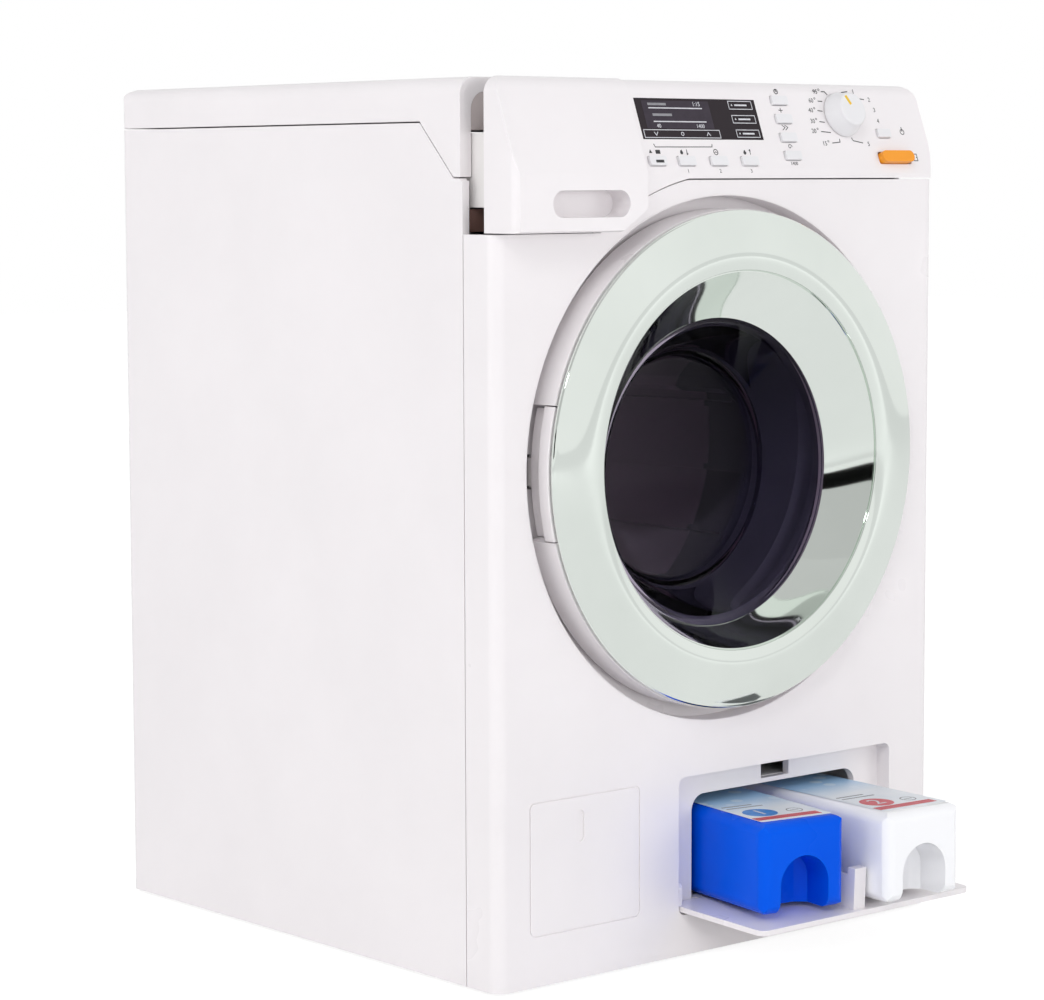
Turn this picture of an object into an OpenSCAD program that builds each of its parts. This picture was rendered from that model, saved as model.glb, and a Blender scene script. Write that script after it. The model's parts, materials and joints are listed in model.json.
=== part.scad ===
// Toy front-loading washing machine, life-size for a child's room, in millimetres.
// The origin is on the floor under the middle of the toy with its bottles drawn out; the front faces -Y.
// Inside at_face() the y coordinate is the depth behind the face of the front panel.

/* [Body] */
// Width over the side panels
body_w = 180; // [170:1:200]
// Depth from the front panel's face to the back
body_d = 186; // [180:1:210]
// Height from the floor to the top of the cover
body_h = 260; // [255:1:280]
// Wall of the housing, the cover and the front panel
wall = 2.5; // [2:0.1:3]
// Radius of the upright corners
corner_r = 4; // [3:0.5:6]
// Gap between the body's lower edge and the floor
foot_gap = 1; // [0.5:0.1:2]
// Visible gap between the body's panels
seam = 0.4; // [0.3:0.05:0.6]
// Depth of the front panel's turned sides
front_wrap = 13.6; // [12:0.1:15]

/* [Base] */
// Thickness of the base plate
base_t = 2.4; // [2:0.1:3]
// Height of the plate's underside above the casing's lower edge
base_lift = 0.6; // [0.4:0.1:1]
// Height of the ribs, from the plate's underside
base_rib_h = 6; // [4:0.5:8]
// Thickness of the ribs
base_rib_t = 2; // [1.5:0.1:2.4]
// Radius of a foot pad
foot_r = 7; // [5:0.5:9]
// Distance of a foot pad's centre from the casing's sides, front and back
foot_inset = 15; // [12:0.5:18]
// Distance of the base screws from the casing's sides
base_screw_inset = 16; // [15:0.5:20]
// Depth of the front base screws
base_screw_front = 30; // [28:1:34]
// Distance of the rear base screws from the back
base_screw_back = 26; // [24:1:30]
// Radius of a base screw
base_screw_r = 1.6; // [1.4:0.1:2]
// Depth of the speaker's centre
speaker_d = 120; // [116:1:126]
// Radius of the speaker's basket
speaker_r = 18.8; // [16:0.1:19]
// Height of the speaker
speaker_h = 14; // [10:0.5:15]
// Pitch of the slots under the speaker
grille_pitch = 4; // [4:0.5:6]
// Length of the slots under the speaker
grille_l = 18; // [12:1:24]

/* [Top cover] */
// Height of the cover's side skirt
cover_h = 12.3; // [10:0.1:15]
// Depth at which the cover starts behind the front
cover_front = 15; // [14.5:0.1:17]
// Height of the cover's deep skirt at its front end
skirt_h = 28; // [24:0.5:30]
// Run of the deep skirt before it slopes up
skirt_run = 3; // [2:0.5:6]
// Run of the skirt's slope
skirt_slope_run = 15; // [12:0.5:20]
// Radius of the cover's top edges
cover_r = 5; // [3:0.5:6]
// Width of the cover's turned front lip
lip_w = 4.2; // [4:0.1:5]

/* [Control fascia] */
// Height of the fascia, from its lower seam to the top
fascia_h = 29; // [28:0.5:30]
// Height of the upright strip under the leaning face
upright_h = 2; // [1.5:0.5:3]
// How far the face stands proud of the front panel
fascia_proud = 0.5; // [0.3:0.1:1]
// Lean of the face from upright, in degrees
slope = 20.5; // [18:0.5:24]
// Radius from the face to the top
brow_r = 5; // [4:0.5:6]
// Wall of the fascia
fascia_wall = 2.2; // [1.8:0.1:2.6]
// Display width
display_w = 48.9; // [44:0.1:52]
// Display height up the slope
display_h = 12.7; // [11:0.1:13]
// Display centre, sideways
display_x = -6.6; // [-8:0.1:-5]
// Display centre, up the slope
display_v = 16.8; // [16:0.1:17]
// Thickness of the display window
display_t = 1.4; // [1:0.1:1.8]

/* [Keys] */
// Key width
key_w = 6.6; // [5:0.1:7]
// Key height
key_h = 2.8; // [2.2:0.1:3.2]
// How far a key stands proud
key_proud = 0.9; // [0.6:0.1:1.4]
// Gap round a key in its opening
key_gap = 0.2; // [0.15:0.05:0.3]
// Stroke of a key
key_stroke = 0.8; // [0.5:0.1:1]
// Places of the lower row of keys
key_row_x = [-28, -16.4, -3.4, 9.4];
// Height of the lower row up the slope
key_row_v = 3.6; // [3.6:0.1:4]
// Place of the column of keys
key_col_x = 28.2; // [27:0.1:30]
// Heights of the column's keys up the slope
key_col_v = [23, 17.1, 11.2, 5.4];
// Place of the single key
key_single_x = 70.5; // [69:0.1:73]
// Height of the single key up the slope
key_single_v = 12.8; // [12:0.1:14]
// Width of the door key
door_key_w = 14; // [12:0.5:16]
// Height of the door key
door_key_h = 3.6; // [3:0.1:4]
// Place of the door key
door_key_x = 72.9; // [71:0.1:75]
// Height of the door key up the slope
door_key_v = 4.8; // [4.5:0.1:5.5]
// How far the door key stands proud
door_key_proud = 2; // [1.5:0.1:2.5]

/* [Dial] */
// Dial centre, sideways
dial_x = 53.7; // [52:0.1:56]
// Dial centre, up the slope
dial_v = 18.6; // [18:0.1:19]
// Radius of the dial's foot
dial_r = 7; // [6:0.1:7]
// Radius of the dial's cap
dial_cap_r = 5.2; // [4.5:0.1:5.5]
// Height of the dial
dial_h = 5.6; // [4.5:0.1:7]
// Radius of the dial's shaft
dial_shaft_r = 1.6; // [1.2:0.1:2]

/* [Circuit board] */
// Width of the board
board_w = 119; // [114:1:120]
// Height of the board up the slope
board_h = 21.2; // [20:0.1:21.2]
// Centre of the board, sideways
board_x = 24.5; // [24:0.5:25.5]
// Centre of the board, up the slope
board_v = 13.4; // [13.2:0.1:13.6]
// Depth of the board behind the sloping face
board_off = 6.5; // [6.3:0.1:7]
// Thickness of the board
board_t = 1.6; // [1:0.1:1.6]
// Height of a switch on the board
switch_h = 1; // [0.8:0.1:1.2]

/* [Drawer] */
// Right edge of the drawer front
drawer_right = -40.7; // [-45:0.1:-40]
// Drop of the drawer front's lower edge below the fascia's seam
drawer_drop = 15; // [13:0.5:17]
// How far the drawer is drawn out at rest
drawer_out = 9; // [8:0.5:12]
// Height of the tray
tray_h = 20.8; // [18:0.1:22]
// Height of the tray's underside above the drawer front's lower edge
tray_rise = 7.5; // [6:0.1:9]
// Length of the tray behind the front
tray_l = 58; // [50:1:64]
// Wall of the tray
tray_wall = 1.6; // [1.2:0.1:2]
// Side clearance of the tray in its runners
tray_gap = 0.3; // [0.2:0.05:0.5]
// Length of the grip slot
grip_w = 29; // [26:0.5:32]
// Height of the grip slot
grip_h = 7.6; // [7:0.1:9]
// Centre of the grip slot, sideways
grip_x = -62.2; // [-64:0.1:-60]
// Height of the grip slot's centre above the drawer front's lower edge
grip_rise = 8.4; // [8:0.1:9]
// Depth of the grip slot
grip_d = 7; // [5:0.5:8]

/* [Door] */
// Centre of the door, sideways
door_x = -0.5; // [-2:0.1:2]
// Drop of the door's centre below the fascia's seam
door_drop = 82.5; // [82:0.1:85]
// Radius of the recess round the door
moat_r = 77.7; // [76:0.1:79]
// Depth of the recess round the door
moat_d = 8; // [7.5:0.1:9]
// Margin from the recess to the fascia's seam
brow_margin = 6.3; // [5:0.1:7]
// Radius of the door's ring
ring_r = 73.8; // [72:0.1:74]
// Radius of the ring's inner rim
rim_r = 55.9; // [54:0.1:57]
// How far the inner rim stands proud of the panel
rim_proud = 8.1; // [7:0.1:9]
// How far the ring's outer edge stands proud of the panel
ring_proud = 6.2; // [5:0.1:6.5]
// Thickness of the ring's metallised shell
ring_t = 1.2; // [1:0.1:1.4]
// Radius of the visible glass
glass_r = 45.9; // [44:0.1:47]
// How far the glass sits below the ring's centre
glass_drop = 4.1; // [3:0.1:4.5]
// Depth of the glass's edge behind the panel
glass_d = 4; // [3.5:0.1:4.2]
// Thickness of the glass
glass_t = 1.8; // [1.5:0.1:2]
// Depth of the glass bowl
bowl_d = 22; // [18:0.5:24]
// Radius of the bowl's bottom
bowl_r = 37; // [34:0.5:38]
// Radius of the opening behind the door
port_r = 50; // [49.5:0.1:52]
// Distance from the door's centre to the hinge pin
hinge_r = 70.5; // [70:0.1:71]
// Depth of the hinge pin from the panel, minus is in front
hinge_d = -2; // [-2.4:0.1:-1.8]
// Radius of the hinge pin
hinge_pin_r = 1.3; // [1.2:0.1:1.5]
// Half height of the hinge knuckle
knuckle_h = 8; // [6:0.5:9]
// Half angle of the door's handle
handle_angle = 15.2; // [12:0.1:18]
// Gap round the handle in the frame
handle_gap = 0.35; // [0.2:0.05:0.5]
// Width of the door frame's side wall
frame_wall = 6; // [5:0.5:7]
// Radius of the knuckles round the hinge pin
knuckle_r = 2.5; // [2.3:0.1:2.8]
// Height of the frame's own knuckles
frame_knuckle_h = 5.6; // [4:0.2:7]
// Radial play of the hinge pin
hinge_play = 0.06; // [0.05:0.01:0.1]
// Height of the catch hook
hook_h = 8; // [6:0.5:9]

/* [Tub and drum] */
// Inner radius of the tub
tub_r = 66; // [65:0.5:67]
// Wall of the tub
tub_wall = 2; // [1.6:0.1:2.2]
// Room behind the tub for the bearing, the gears and the motor
rear_space = 44; // [42:1:48]
// Width of the tub's front flange
flange_w = 9; // [7:0.5:10]
// Thickness of the tub's front flange
flange_t = 3.2; // [2.4:0.1:4]
// Outer radius of the drum
drum_r = 62; // [60:0.5:63]
// Wall of the drum
drum_wall = 1.5; // [1.2:0.1:1.8]
// Depth at which the drum starts
drum_front = 38; // [36:0.5:40]
// Room between the drum and the tub's rear wall
drum_gap = 12; // [10:1:20]
// Radius of the drum's mouth
drum_mouth_r = 45; // [44:0.5:50]
// Count of ribs round the drum
drum_ribs = 18; // [12:3:24]
// Count of drain holes in the drum's rear wall
drain_holes = 6; // [3:1:8]
// Radius of a drain hole
drain_r = 3; // [2:0.5:4]
// Height of a drum rib
rib_h = 1.6; // [1:0.1:2]
// Count of lifting paddles
paddles = 3; // [2:1:4]
// Height of a paddle
paddle_h = 12; // [10:0.5:14]
// Radius of the drum's shaft
shaft_r = 3; // [2.5:0.1:4]
// Radial play of the shaft in its bush
shaft_play = 0.05; // [0.02:0.01:0.08]

/* [Drive] */
// Module of the gear teeth
gear_m = 1.5; // [1.5:0.1:1.5]
// Teeth of the drum's gear
gear_teeth = 40; // [36:1:42]
// Teeth of the motor's pinion
pinion_teeth = 10; // [10:1:12]
// Width of the gears
gear_w = 6; // [5:0.5:6]
// Play between the tooth flanks
backlash = 0.3; // [0.25:0.05:0.5]
// Radius of the motor's can
motor_r = 10; // [9:0.5:11]
// Length of the motor's can
motor_l = 16; // [14:0.5:17]
// Radius of the motor's shaft
motor_shaft_r = 1; // [0.8:0.1:1.5]
// Thickness of the motor's bracket
bracket_t = 1.5; // [1.2:0.1:2]
// Sideways distance of the bracket's posts from the motor's shaft
post_x = 14; // [13:0.5:15]
// Drop of the bracket's posts below the motor's shaft
post_drop = 8; // [6:0.5:9]
// Thickness of the bush's wall
bush_wall = 2.5; // [2:0.1:3]

/* [Refill bay] */
// Centre of the bay, sideways
bay_x = 26; // [24:0.5:28]
// Width of the recess that the flap closes
recess_w = 91; // [88:0.5:92]
// Bottom of the recess
recess_z = 13.2; // [13:0.1:14]
// Top of the recess
recess_top = 54.8; // [54:0.1:56]
// Depth of the recess
recess_d = 5.4; // [5.2:0.1:6]
// Width of the opening into the bay
mouth_w = 70.4; // [70:0.1:74]
// Top of the opening into the bay
mouth_top = 47.6; // [47.6:0.1:48]
// Corner radius of the opening
mouth_r = 5; // [3:0.5:6]
// Depth of the bay behind the panel
bay_d = 92; // [88:1:98]
// Width of the catch slot above the opening
catch_w = 12; // [10:0.5:13]
// Height of the catch slot
catch_h = 5.2; // [4.5:0.1:5.2]
// Wall of the bay
bay_wall = 1.6; // [1.2:0.1:1.8]
// Room beside the bay's opening, inside the bay
bay_side = 5.5; // [4:0.5:6]
// Left edge of the service panel's outline
service_x = -78; // [-80:0.5:-76]
// Width of the service panel's outline
service_w = 42.8; // [40:0.1:44]
// Lower edge of the service panel's outline
service_z = 15.6; // [14:0.1:18]
// Height of the service panel's outline
service_h = 39.2; // [36:0.1:42]
// Width of the outline's groove
groove_w = 0.5; // [0.4:0.1:0.8]
// Depth of the outline's groove
groove_d = 0.35; // [0.2:0.05:0.5]

/* [Flap] */
// Thickness of the flap
flap_t = 1.6; // [1.2:0.1:2]
// Length of the flap in front of its hinge
flap_l = 37.6; // [35:0.1:38]
// Height of the flap's hinge axis
flap_z = 16.6; // [16.6:0.1:17]
// Depth of the flap's hinge axis
flap_d = 2.8; // [2.7:0.1:3]
// How far the open flap hangs below level, in degrees
flap_sag = 2.4; // [1:0.1:3]
// Height of the flap's cheeks above the axis
ear_h = 6.4; // [5:0.1:7]
// Radius of the flap's pins
flap_pin_r = 1; // [0.8:0.1:1.1]
// Height of the keeper on the flap
keeper_h = 12.5; // [10:0.5:13]
// Width of the keeper
keeper_w = 4.8; // [4:0.1:5]
// Distance of the keeper from the hinge axis
keeper_y = 34.2; // [34:0.1:35]
// Sideways place of the keeper from the flap's middle
keeper_x = -2.6; // [-3:0.1:-2]

/* [Refill bottles] */
// Width of a bottle
bottle_w = 30.6; // [28:0.1:31]
// Height of a bottle
bottle_h = 27.6; // [25:0.1:28]
// Length of a bottle
bottle_l = 75; // [65:1:76]
// Radius of a bottle's edges
bottle_r = 4; // [3:0.5:5]
// Width of the finger arch
arch_w = 17.4; // [15:0.1:19]
// Height of the finger arch
arch_h = 17; // [15:0.5:18]
// Depth of the finger arch
arch_d = 13; // [10:0.5:15]

/* [Back] */
// Width of the rear cover
rear_w = 150; // [140:1:156]
// Height of the rear cover's lower edge
rear_z = 17.5; // [16:0.5:22]
// Distance of the rear cover's upper edge below the top
rear_drop = 35; // [33:1:40]
// Thickness of the rear cover
rear_t = 1.2; // [1:0.1:1.4]
// Corner radius of the rear cover
rear_r = 6; // [4:0.5:8]
// Width of the ledge under the rear cover's edge
ledge_w = 8; // [7:0.5:9]
// Distance of the cover's screws from its edges
screw_inset = 4.5; // [4:0.1:5]
// Radius of a cover screw
screw_r = 1; // [0.9:0.1:1.2]
// Radius of a cover screw's head
screw_head_r = 2.6; // [2.2:0.1:2.8]
// Height of a cover screw's head
screw_head_h = 0.5; // [0.4:0.1:0.6]
// Width of a vent slot
vent_w = 40; // [30:1:44]
// Height of a vent slot
vent_h = 3.2; // [2:0.1:4]
// Pitch of the vent slots
vent_pitch = 9; // [7:0.5:9]
// Vent slots in a column
vents = 9; // [5:2:9]
// Distance of the vent columns from the middle
vent_x = 26; // [23:0.5:27]
// Width of the battery cover
battery_w = 104; // [96:1:110]
// Height of the battery cover
battery_h = 44; // [40:1:46]
// Depth of the battery box
battery_d = 31; // [28:1:32]
// Cells in the battery box
cells = 4; // [3:1:4]
// Pitch of the cells
cell_pitch = 10; // [9:0.1:10]
// Wall between two cells
cell_wall = 0.6; // [0.5:0.1:0.8]
// Height of the battery box above the rear cover's lower edge
battery_rise = 9; // [8.5:0.5:12]

/* [Hidden] */
$fn = 96;
eps = 0.01;
// Front left corner of each bottle, sideways and in depth, and its turn from straight
bottle_one_at = [-13, -28.5, 9.5];
bottle_two_at = [26, -41.5, 4];
front_reach = round(bottle_w * sin(bottle_two_at[2]) - bottle_two_at[1]);
face_y = (front_reach - body_d) / 2;
fascia_z = body_h - fascia_h;
kink_z = fascia_z + upright_h;
drawer_z = fascia_z - drawer_drop;
tray_z = drawer_z + tray_rise;
grip_z = drawer_z + grip_rise;
door_z = fascia_z - door_drop;
tub_back = body_d - rear_space;
drum_l = tub_back - drum_gap - drum_front;
rear_h = body_h - rear_drop - rear_z;
half_w = body_w / 2;
cover_z = body_h - cover_h;
skirt_z = body_h - skirt_h;
kink_d = -fascia_proud;
brow_a = (body_h - kink_z - brow_r + brow_r * sin(slope)) / cos(slope);
brow_d = kink_d + brow_a * sin(slope) + brow_r * cos(slope);
moat_floor = moat_d + wall;
arc_r = moat_r + brow_margin;
hinge_x = door_x + hinge_r;
glass_z = door_z - glass_drop;
frame_back = moat_d - 1.5;
tub_front = moat_floor;
drum_back = drum_front + drum_l;
// Reach of the bearing boss into the tub and behind it, and of the gear and the shaft behind the tub
boss_in = 6;
boss_out = 8;
gear_gap = 12;
shaft_tail = 24;
shaft_end = tub_back + shaft_tail;
gear_d = tub_back + gear_gap;
gear_pitch_r = gear_m * gear_teeth / 2;
pinion_pitch_r = gear_m * pinion_teeth / 2;
motor_x = door_x;
motor_z = door_z - gear_pitch_r - pinion_pitch_r - 0.1;
bracket_d = gear_d + gear_w + 2;
tray_x0 = -half_w + lip_w + tray_gap;
tray_x1 = drawer_right - 2.8;
tray_d = front_wrap - 0.2;
tray_mid = (tray_x0 + tray_x1) / 2;
// The tray's low and lower partitions: place from its middle and drop below its rim, and their thickness
splits = [[-5, 3], [7, 5]];
split_t = 1.2;
insert_play = 0.3;
recess_x0 = bay_x - recess_w / 2;
recess_x1 = bay_x + recess_w / 2;
mouth_z = flap_z - 0.4;
bottle_z = mouth_z + 0.3;
bay_w = mouth_w + 2 * bay_side;
bay_h = mouth_top - mouth_z;
battery_z = rear_z + battery_rise;
battery_back = body_d - rear_t;
rear_screw_x = rear_w / 2 - screw_inset;
rear_screw_z = [rear_z + screw_inset, rear_z + rear_h / 2, rear_z + rear_h - screw_inset];
base_z = foot_gap + base_lift;
base_screw_x = half_w - base_screw_inset;
base_screw_d = [base_screw_front, body_d - base_screw_back];
bush_r = shaft_r + bush_wall;
frame_r = ring_r + 0.2;
hook_x = door_x - ring_r + 2.8;

// ---- Helpers ----

module at_face() { translate([0, face_y, 0]) children(); }

// An upright outline in X and Z, extruded from depth d0 to depth d1
module front_prism(d0, d1) {
    translate([0, d1, 0]) rotate([90, 0, 0]) linear_extrude(d1 - d0) children();
}

// A side outline in depth and Z, extruded from x0 to x1
module side_prism(x0, x1) {
    translate([x0, 0, 0]) rotate([90, 0, 90]) linear_extrude(x1 - x0) children();
}

// A profile of radius and depth, turned about a fore-and-aft axis at x, z
module turned(x, z, points) {
    translate([x, 0, z]) rotate([-90, 0, 0]) rotate_extrude() polygon(points);
}

// A round bar along the depth at x, z
module bar(x, z, d0, d1, r) {
    translate([x, d0, z]) rotate([-90, 0, 0]) cylinder(h = d1 - d0, r = r);
}

// Places children on the sloping face: x sideways, v up the slope, off outwards
module on_slope(x, v, off = 0) {
    translate([0, kink_d, kink_z]) rotate([90 - slope, 0, 0]) translate([x, v, off]) children();
}

module rounded_square(w, h, r) {
    union() {
        square([w - 2 * r, h], center = true);
        square([w, h - 2 * r], center = true);
        for (sx = [-1, 1], sy = [-1, 1]) translate([sx * (w / 2 - r), sy * (h / 2 - r)]) circle(r);
    }
}

module rounded_rect(x0, y0, x1, y1, r) {
    translate([(x0 + x1) / 2, (y0 + y1) / 2]) rounded_square(x1 - x0, y1 - y0, r);
}

module stadium(w, h) {
    union() {
        square([w - h, h], center = true);
        for (side = [-1, 1]) translate([side * (w - h) / 2, 0]) circle(h / 2);
    }
}

function arc(c, r, a0, a1, n) = [for (i = [0:n])
    let (a = a0 + (a1 - a0) * i / n) c + r * [cos(a), sin(a)]];

// Side outline of the fascia and of the drawer front, moved inwards by inset
function brow_profile(inset, bottom, back) = concat(
    [[back, bottom], [kink_d + inset, bottom], [kink_d + inset, kink_z - inset * tan(slope / 2)]],
    arc([brow_d, body_h - brow_r], brow_r - inset, 180 - slope, 90, 6),
    [[back, body_h - inset]]);

// The front panel's upper outline: a low shoulder at the drawer, an arc round the door, then the seam
module panel_outline(grow = 0) {
    intersection() {
        translate([-half_w - 1, -1]) square([body_w + 2, fascia_z + grow + 1]);
        union() {
            translate([-half_w - 1, -1]) square([body_w + 2, drawer_z + grow + 1]);
            translate([door_x, door_z]) circle(arc_r + grow);
            translate([0, -1]) square([half_w + 1, fascia_z + grow + 1]);
        }
    }
}

// ---- Casing ----

module base_plate() {
    rib_front = 20;
    rib_x = base_screw_x - 14;
    color("whitesmoke") at_face() difference() {
        union() {
            translate([0, 0, base_z]) linear_extrude(base_t)
                rounded_rect(-half_w + wall, wall, half_w - wall, body_d - wall, corner_r - wall);
            for (sx = [-1, 1]) translate([sx * rib_x - base_rib_t / 2, rib_front, base_z])
                cube([base_rib_t, body_d - 2 * rib_front, base_rib_h]);
            for (side = [-1, 1])
                translate([-rib_x, speaker_d + side * (speaker_r + 1.2) - base_rib_t / 2, base_z])
                cube([2 * rib_x, base_rib_t, base_rib_h]);
        }
        for (i = [-6:6]) translate([(i - 0.25) * grille_pitch, speaker_d - grille_l / 2, 0])
            cube([grille_pitch / 2, grille_l, 12]);
        for (sx = [-1, 1], d = base_screw_d) translate([sx * base_screw_x, d, 0])
            cylinder(h = 10, r = base_screw_r + 0.1);
    }
}

module foot_pads() {
    color("dimgray") at_face() for (sx = [-1, 1], d = [foot_inset, body_d - foot_inset])
        translate([sx * (half_w - foot_inset), d, 0]) cylinder(h = base_z, r = foot_r);
}

module rear_outline(grow) {
    translate([0, rear_z + rear_h / 2])
        rounded_square(rear_w + 2 * grow, rear_h + 2 * grow, max(rear_r + grow, 4));
}

module housing_plan(inset) {
    r = max(corner_r - inset, 0.6);
    rounded_rect(-half_w + inset, front_wrap + seam - 20, half_w - inset, body_d - inset, r);
}

module housing() {
    top = cover_z - seam;
    color("white") at_face() difference() {
        intersection() {
            translate([0, 0, foot_gap]) linear_extrude(body_h) difference() {
                housing_plan(0);
                housing_plan(wall);
            }
            side_prism(-half_w - 1, half_w + 1) polygon([
                [front_wrap + seam, 0], [front_wrap + seam, fascia_z], [cover_front, fascia_z],
                [cover_front, skirt_z - seam], [cover_front + skirt_run, skirt_z - seam],
                [cover_front + skirt_run + skirt_slope_run, top], [body_d + 1, top], [body_d + 1, 0]]);
        }
        front_prism(body_d - wall - 1, body_d + 1) rear_outline(-ledge_w);
        front_prism(battery_back, body_d + 1) rear_outline(0);
        for (sx = [-1, 1], z = rear_screw_z)
            bar(sx * rear_screw_x, z, body_d - 2 * wall, body_d + 1, screw_r + 0.1);
    }
}

module rear_cover() {
    color("white") at_face() difference() {
        front_prism(battery_back, body_d) rear_outline(-seam);
        front_prism(body_d - 2 * rear_t, body_d + 1) translate([0, battery_z + battery_h / 2])
            rounded_square(battery_w, battery_h, 3);
        for (i = [0:vents - 1], sx = [-1, 1]) front_prism(body_d - 2 * rear_t, body_d + 1)
            translate([sx * vent_x, door_z + (i - (vents - 1) / 2) * vent_pitch])
                rounded_square(vent_w, vent_h, vent_h / 2 - 0.1);
        for (sx = [-1, 1], z = rear_screw_z) {
            bar(sx * rear_screw_x, z, body_d - 2 * rear_t, body_d + 1, screw_r + 0.3);
            bar(sx * rear_screw_x, z, body_d - screw_head_h - 0.1, body_d + 1, screw_head_r + 0.2);
        }
    }
}

module rear_screws() {
    head = body_d - 0.1 - screw_head_h;
    color("silver") at_face() for (sx = [-1, 1], z = rear_screw_z) {
        bar(sx * rear_screw_x, z, body_d - 2 * wall - 0.9, head, screw_r);
        bar(sx * rear_screw_x, z, head, head + screw_head_h, screw_head_r);
    }
}

module base_screws() {
    color("silver") at_face()
        for (sx = [-1, 1], d = base_screw_d) translate([sx * base_screw_x, d, foot_gap]) {
            cylinder(h = base_lift, r = 2 * base_screw_r - 0.2);
            cylinder(h = base_lift + base_t + 4, r = base_screw_r);
        }
}

module battery_box() {
    cell_h = cell_pitch - cell_wall;
    color("dimgray") at_face() difference() {
        front_prism(battery_back - battery_d, battery_back) translate([0, battery_z + battery_h / 2])
            rounded_square(battery_w - 1, battery_h - 1, 3);
        for (i = [0:cells - 1]) translate([-battery_w / 2 + 3, 0, battery_z + 2.2 + i * cell_pitch])
            front_prism(body_d - battery_d, body_d) square([battery_w - 6, cell_h]);
    }
}

module battery_contacts() {
    t = 0.6;
    for_cell = cell_pitch - cell_wall - 2;
    color("silver") at_face() for (sx = [-1, 1], i = [0:cells - 1]) {
        x = sx * (battery_w / 2 - 3) - (sx > 0 ? t : 0);
        translate([x, body_d - battery_d + 6, battery_z + 3.2 + i * cell_pitch]) cube([t, 12, for_cell]);
    }
}

module battery_cover() {
    color("white") at_face() difference() {
        front_prism(battery_back, body_d) translate([0, battery_z + battery_h / 2])
            rounded_square(battery_w - 2 * seam, battery_h - 2 * seam, 3 - seam);
        for (i = [0:2]) front_prism(body_d - 0.5, body_d + 1)
            translate([0, battery_z + battery_h - 7 - i * 2.4]) rounded_square(24, 1.2, 0.5);
        bar(0, battery_z + 5, body_d - 2 * rear_t, body_d + 1, 1.6);
    }
}

module cover_solid(inset, back) {
    intersection() {
        side_prism(-half_w + inset, half_w - inset) union() {
            polygon([[cover_front, skirt_z], [cover_front + skirt_run, skirt_z],
                [cover_front + skirt_run + skirt_slope_run, cover_z], [back, cover_z],
                [back, body_h - inset - cover_r], [cover_front, body_h - inset - cover_r]]);
            translate([cover_front, body_h - inset - cover_r - eps])
                square([back - cover_front - cover_r, cover_r + eps]);
            translate([back - cover_r, body_h - inset - cover_r]) circle(cover_r);
        }
        front_prism(cover_front, back) rounded_rect(-half_w + inset, skirt_z - 20, half_w - inset,
            body_h - inset, cover_r);
        linear_extrude(body_h) rounded_rect(-half_w + inset, -20, half_w - inset, back,
            max(corner_r - inset, 1));
    }
}

module top_cover() {
    color("white") at_face() difference() {
        cover_solid(0, body_d);
        translate([-half_w + wall, cover_front + wall, skirt_z - 1])
            cube([body_w - 2 * wall, body_d - 2 * wall - cover_front, body_h - wall - skirt_z + 1]);
        front_prism(cover_front - 1, cover_front + wall + 1)
            rounded_rect(-half_w + lip_w, skirt_z - 20, half_w - lip_w, body_h - lip_w, cover_r);
    }
}

// ---- Front panel ----

module front_plan(inset, back) {
    rounded_rect(-half_w + inset, inset, half_w - inset, back + 20, max(corner_r - inset, 0.8));
}

module recess_outline(grow) {
    rounded_rect(recess_x0 - grow, recess_z - grow, recess_x1 + grow, recess_top + grow, 2.5 + grow);
}

module mouth_outline() {
    rounded_rect(bay_x - mouth_w / 2, mouth_z - 8, bay_x + mouth_w / 2, mouth_top, mouth_r);
}

module service_outline(inset) {
    rounded_rect(service_x + inset, service_z + inset, service_x + service_w - inset,
        service_z + service_h - inset, 2 - inset);
}

module front_panel() {
    color("white") at_face() difference() {
        union() {
            intersection() {
                translate([0, 0, foot_gap]) linear_extrude(body_h) difference() {
                    front_plan(0, front_wrap);
                    front_plan(wall, front_wrap);
                }
                front_prism(-1, front_wrap) panel_outline();
            }
            bar(door_x, door_z, wall - eps, moat_floor, moat_r + wall);
            front_prism(wall - eps, recess_d + wall) intersection() {
                recess_outline(wall);
                translate([-half_w, foot_gap]) square([body_w, body_h]);
            }
        }
        turned(door_x, door_z, [[0, -1], [moat_r + 1.9, -1], [moat_r + 0.9, 0], [moat_r + 0.25, 0.25],
            [moat_r, 0.9], [moat_r, moat_d], [0, moat_d]]);
        bar(door_x, door_z, 0, 20, port_r);
        front_prism(-1, recess_d) recess_outline(0);
        intersection() {
            front_prism(0, 20) mouth_outline();
            translate([-half_w, 0, mouth_z]) cube([body_w, 20, 60]);
        }
        front_prism(0, 20) translate([bay_x - catch_w / 2, recess_top - catch_h - 0.6])
            square([catch_w, catch_h]);
        translate([hinge_x - 2.2, 0, door_z - knuckle_h - 0.2]) cube([4.4, 20, 2 * knuckle_h + 0.4]);
        translate([hook_x - 2.6, 0, door_z - hook_h / 2 - 1]) cube([5.4, 20, hook_h + 2]);
        for (sx = [-1, 1]) translate([bay_x + sx * (recess_w / 2 - 1), flap_d, flap_z])
            rotate([0, 90 * sx, 0]) cylinder(h = 2.6, r = flap_pin_r + 0.12);
        front_prism(-1, groove_d) difference() {
            service_outline(0);
            service_outline(groove_w);
        }
        front_prism(-1, groove_d + 0.15)
            translate([service_x + 0.45 * service_w, service_z + 0.77 * service_h])
            rounded_square(3.4, 9.4, 1.6);
    }
}

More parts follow.
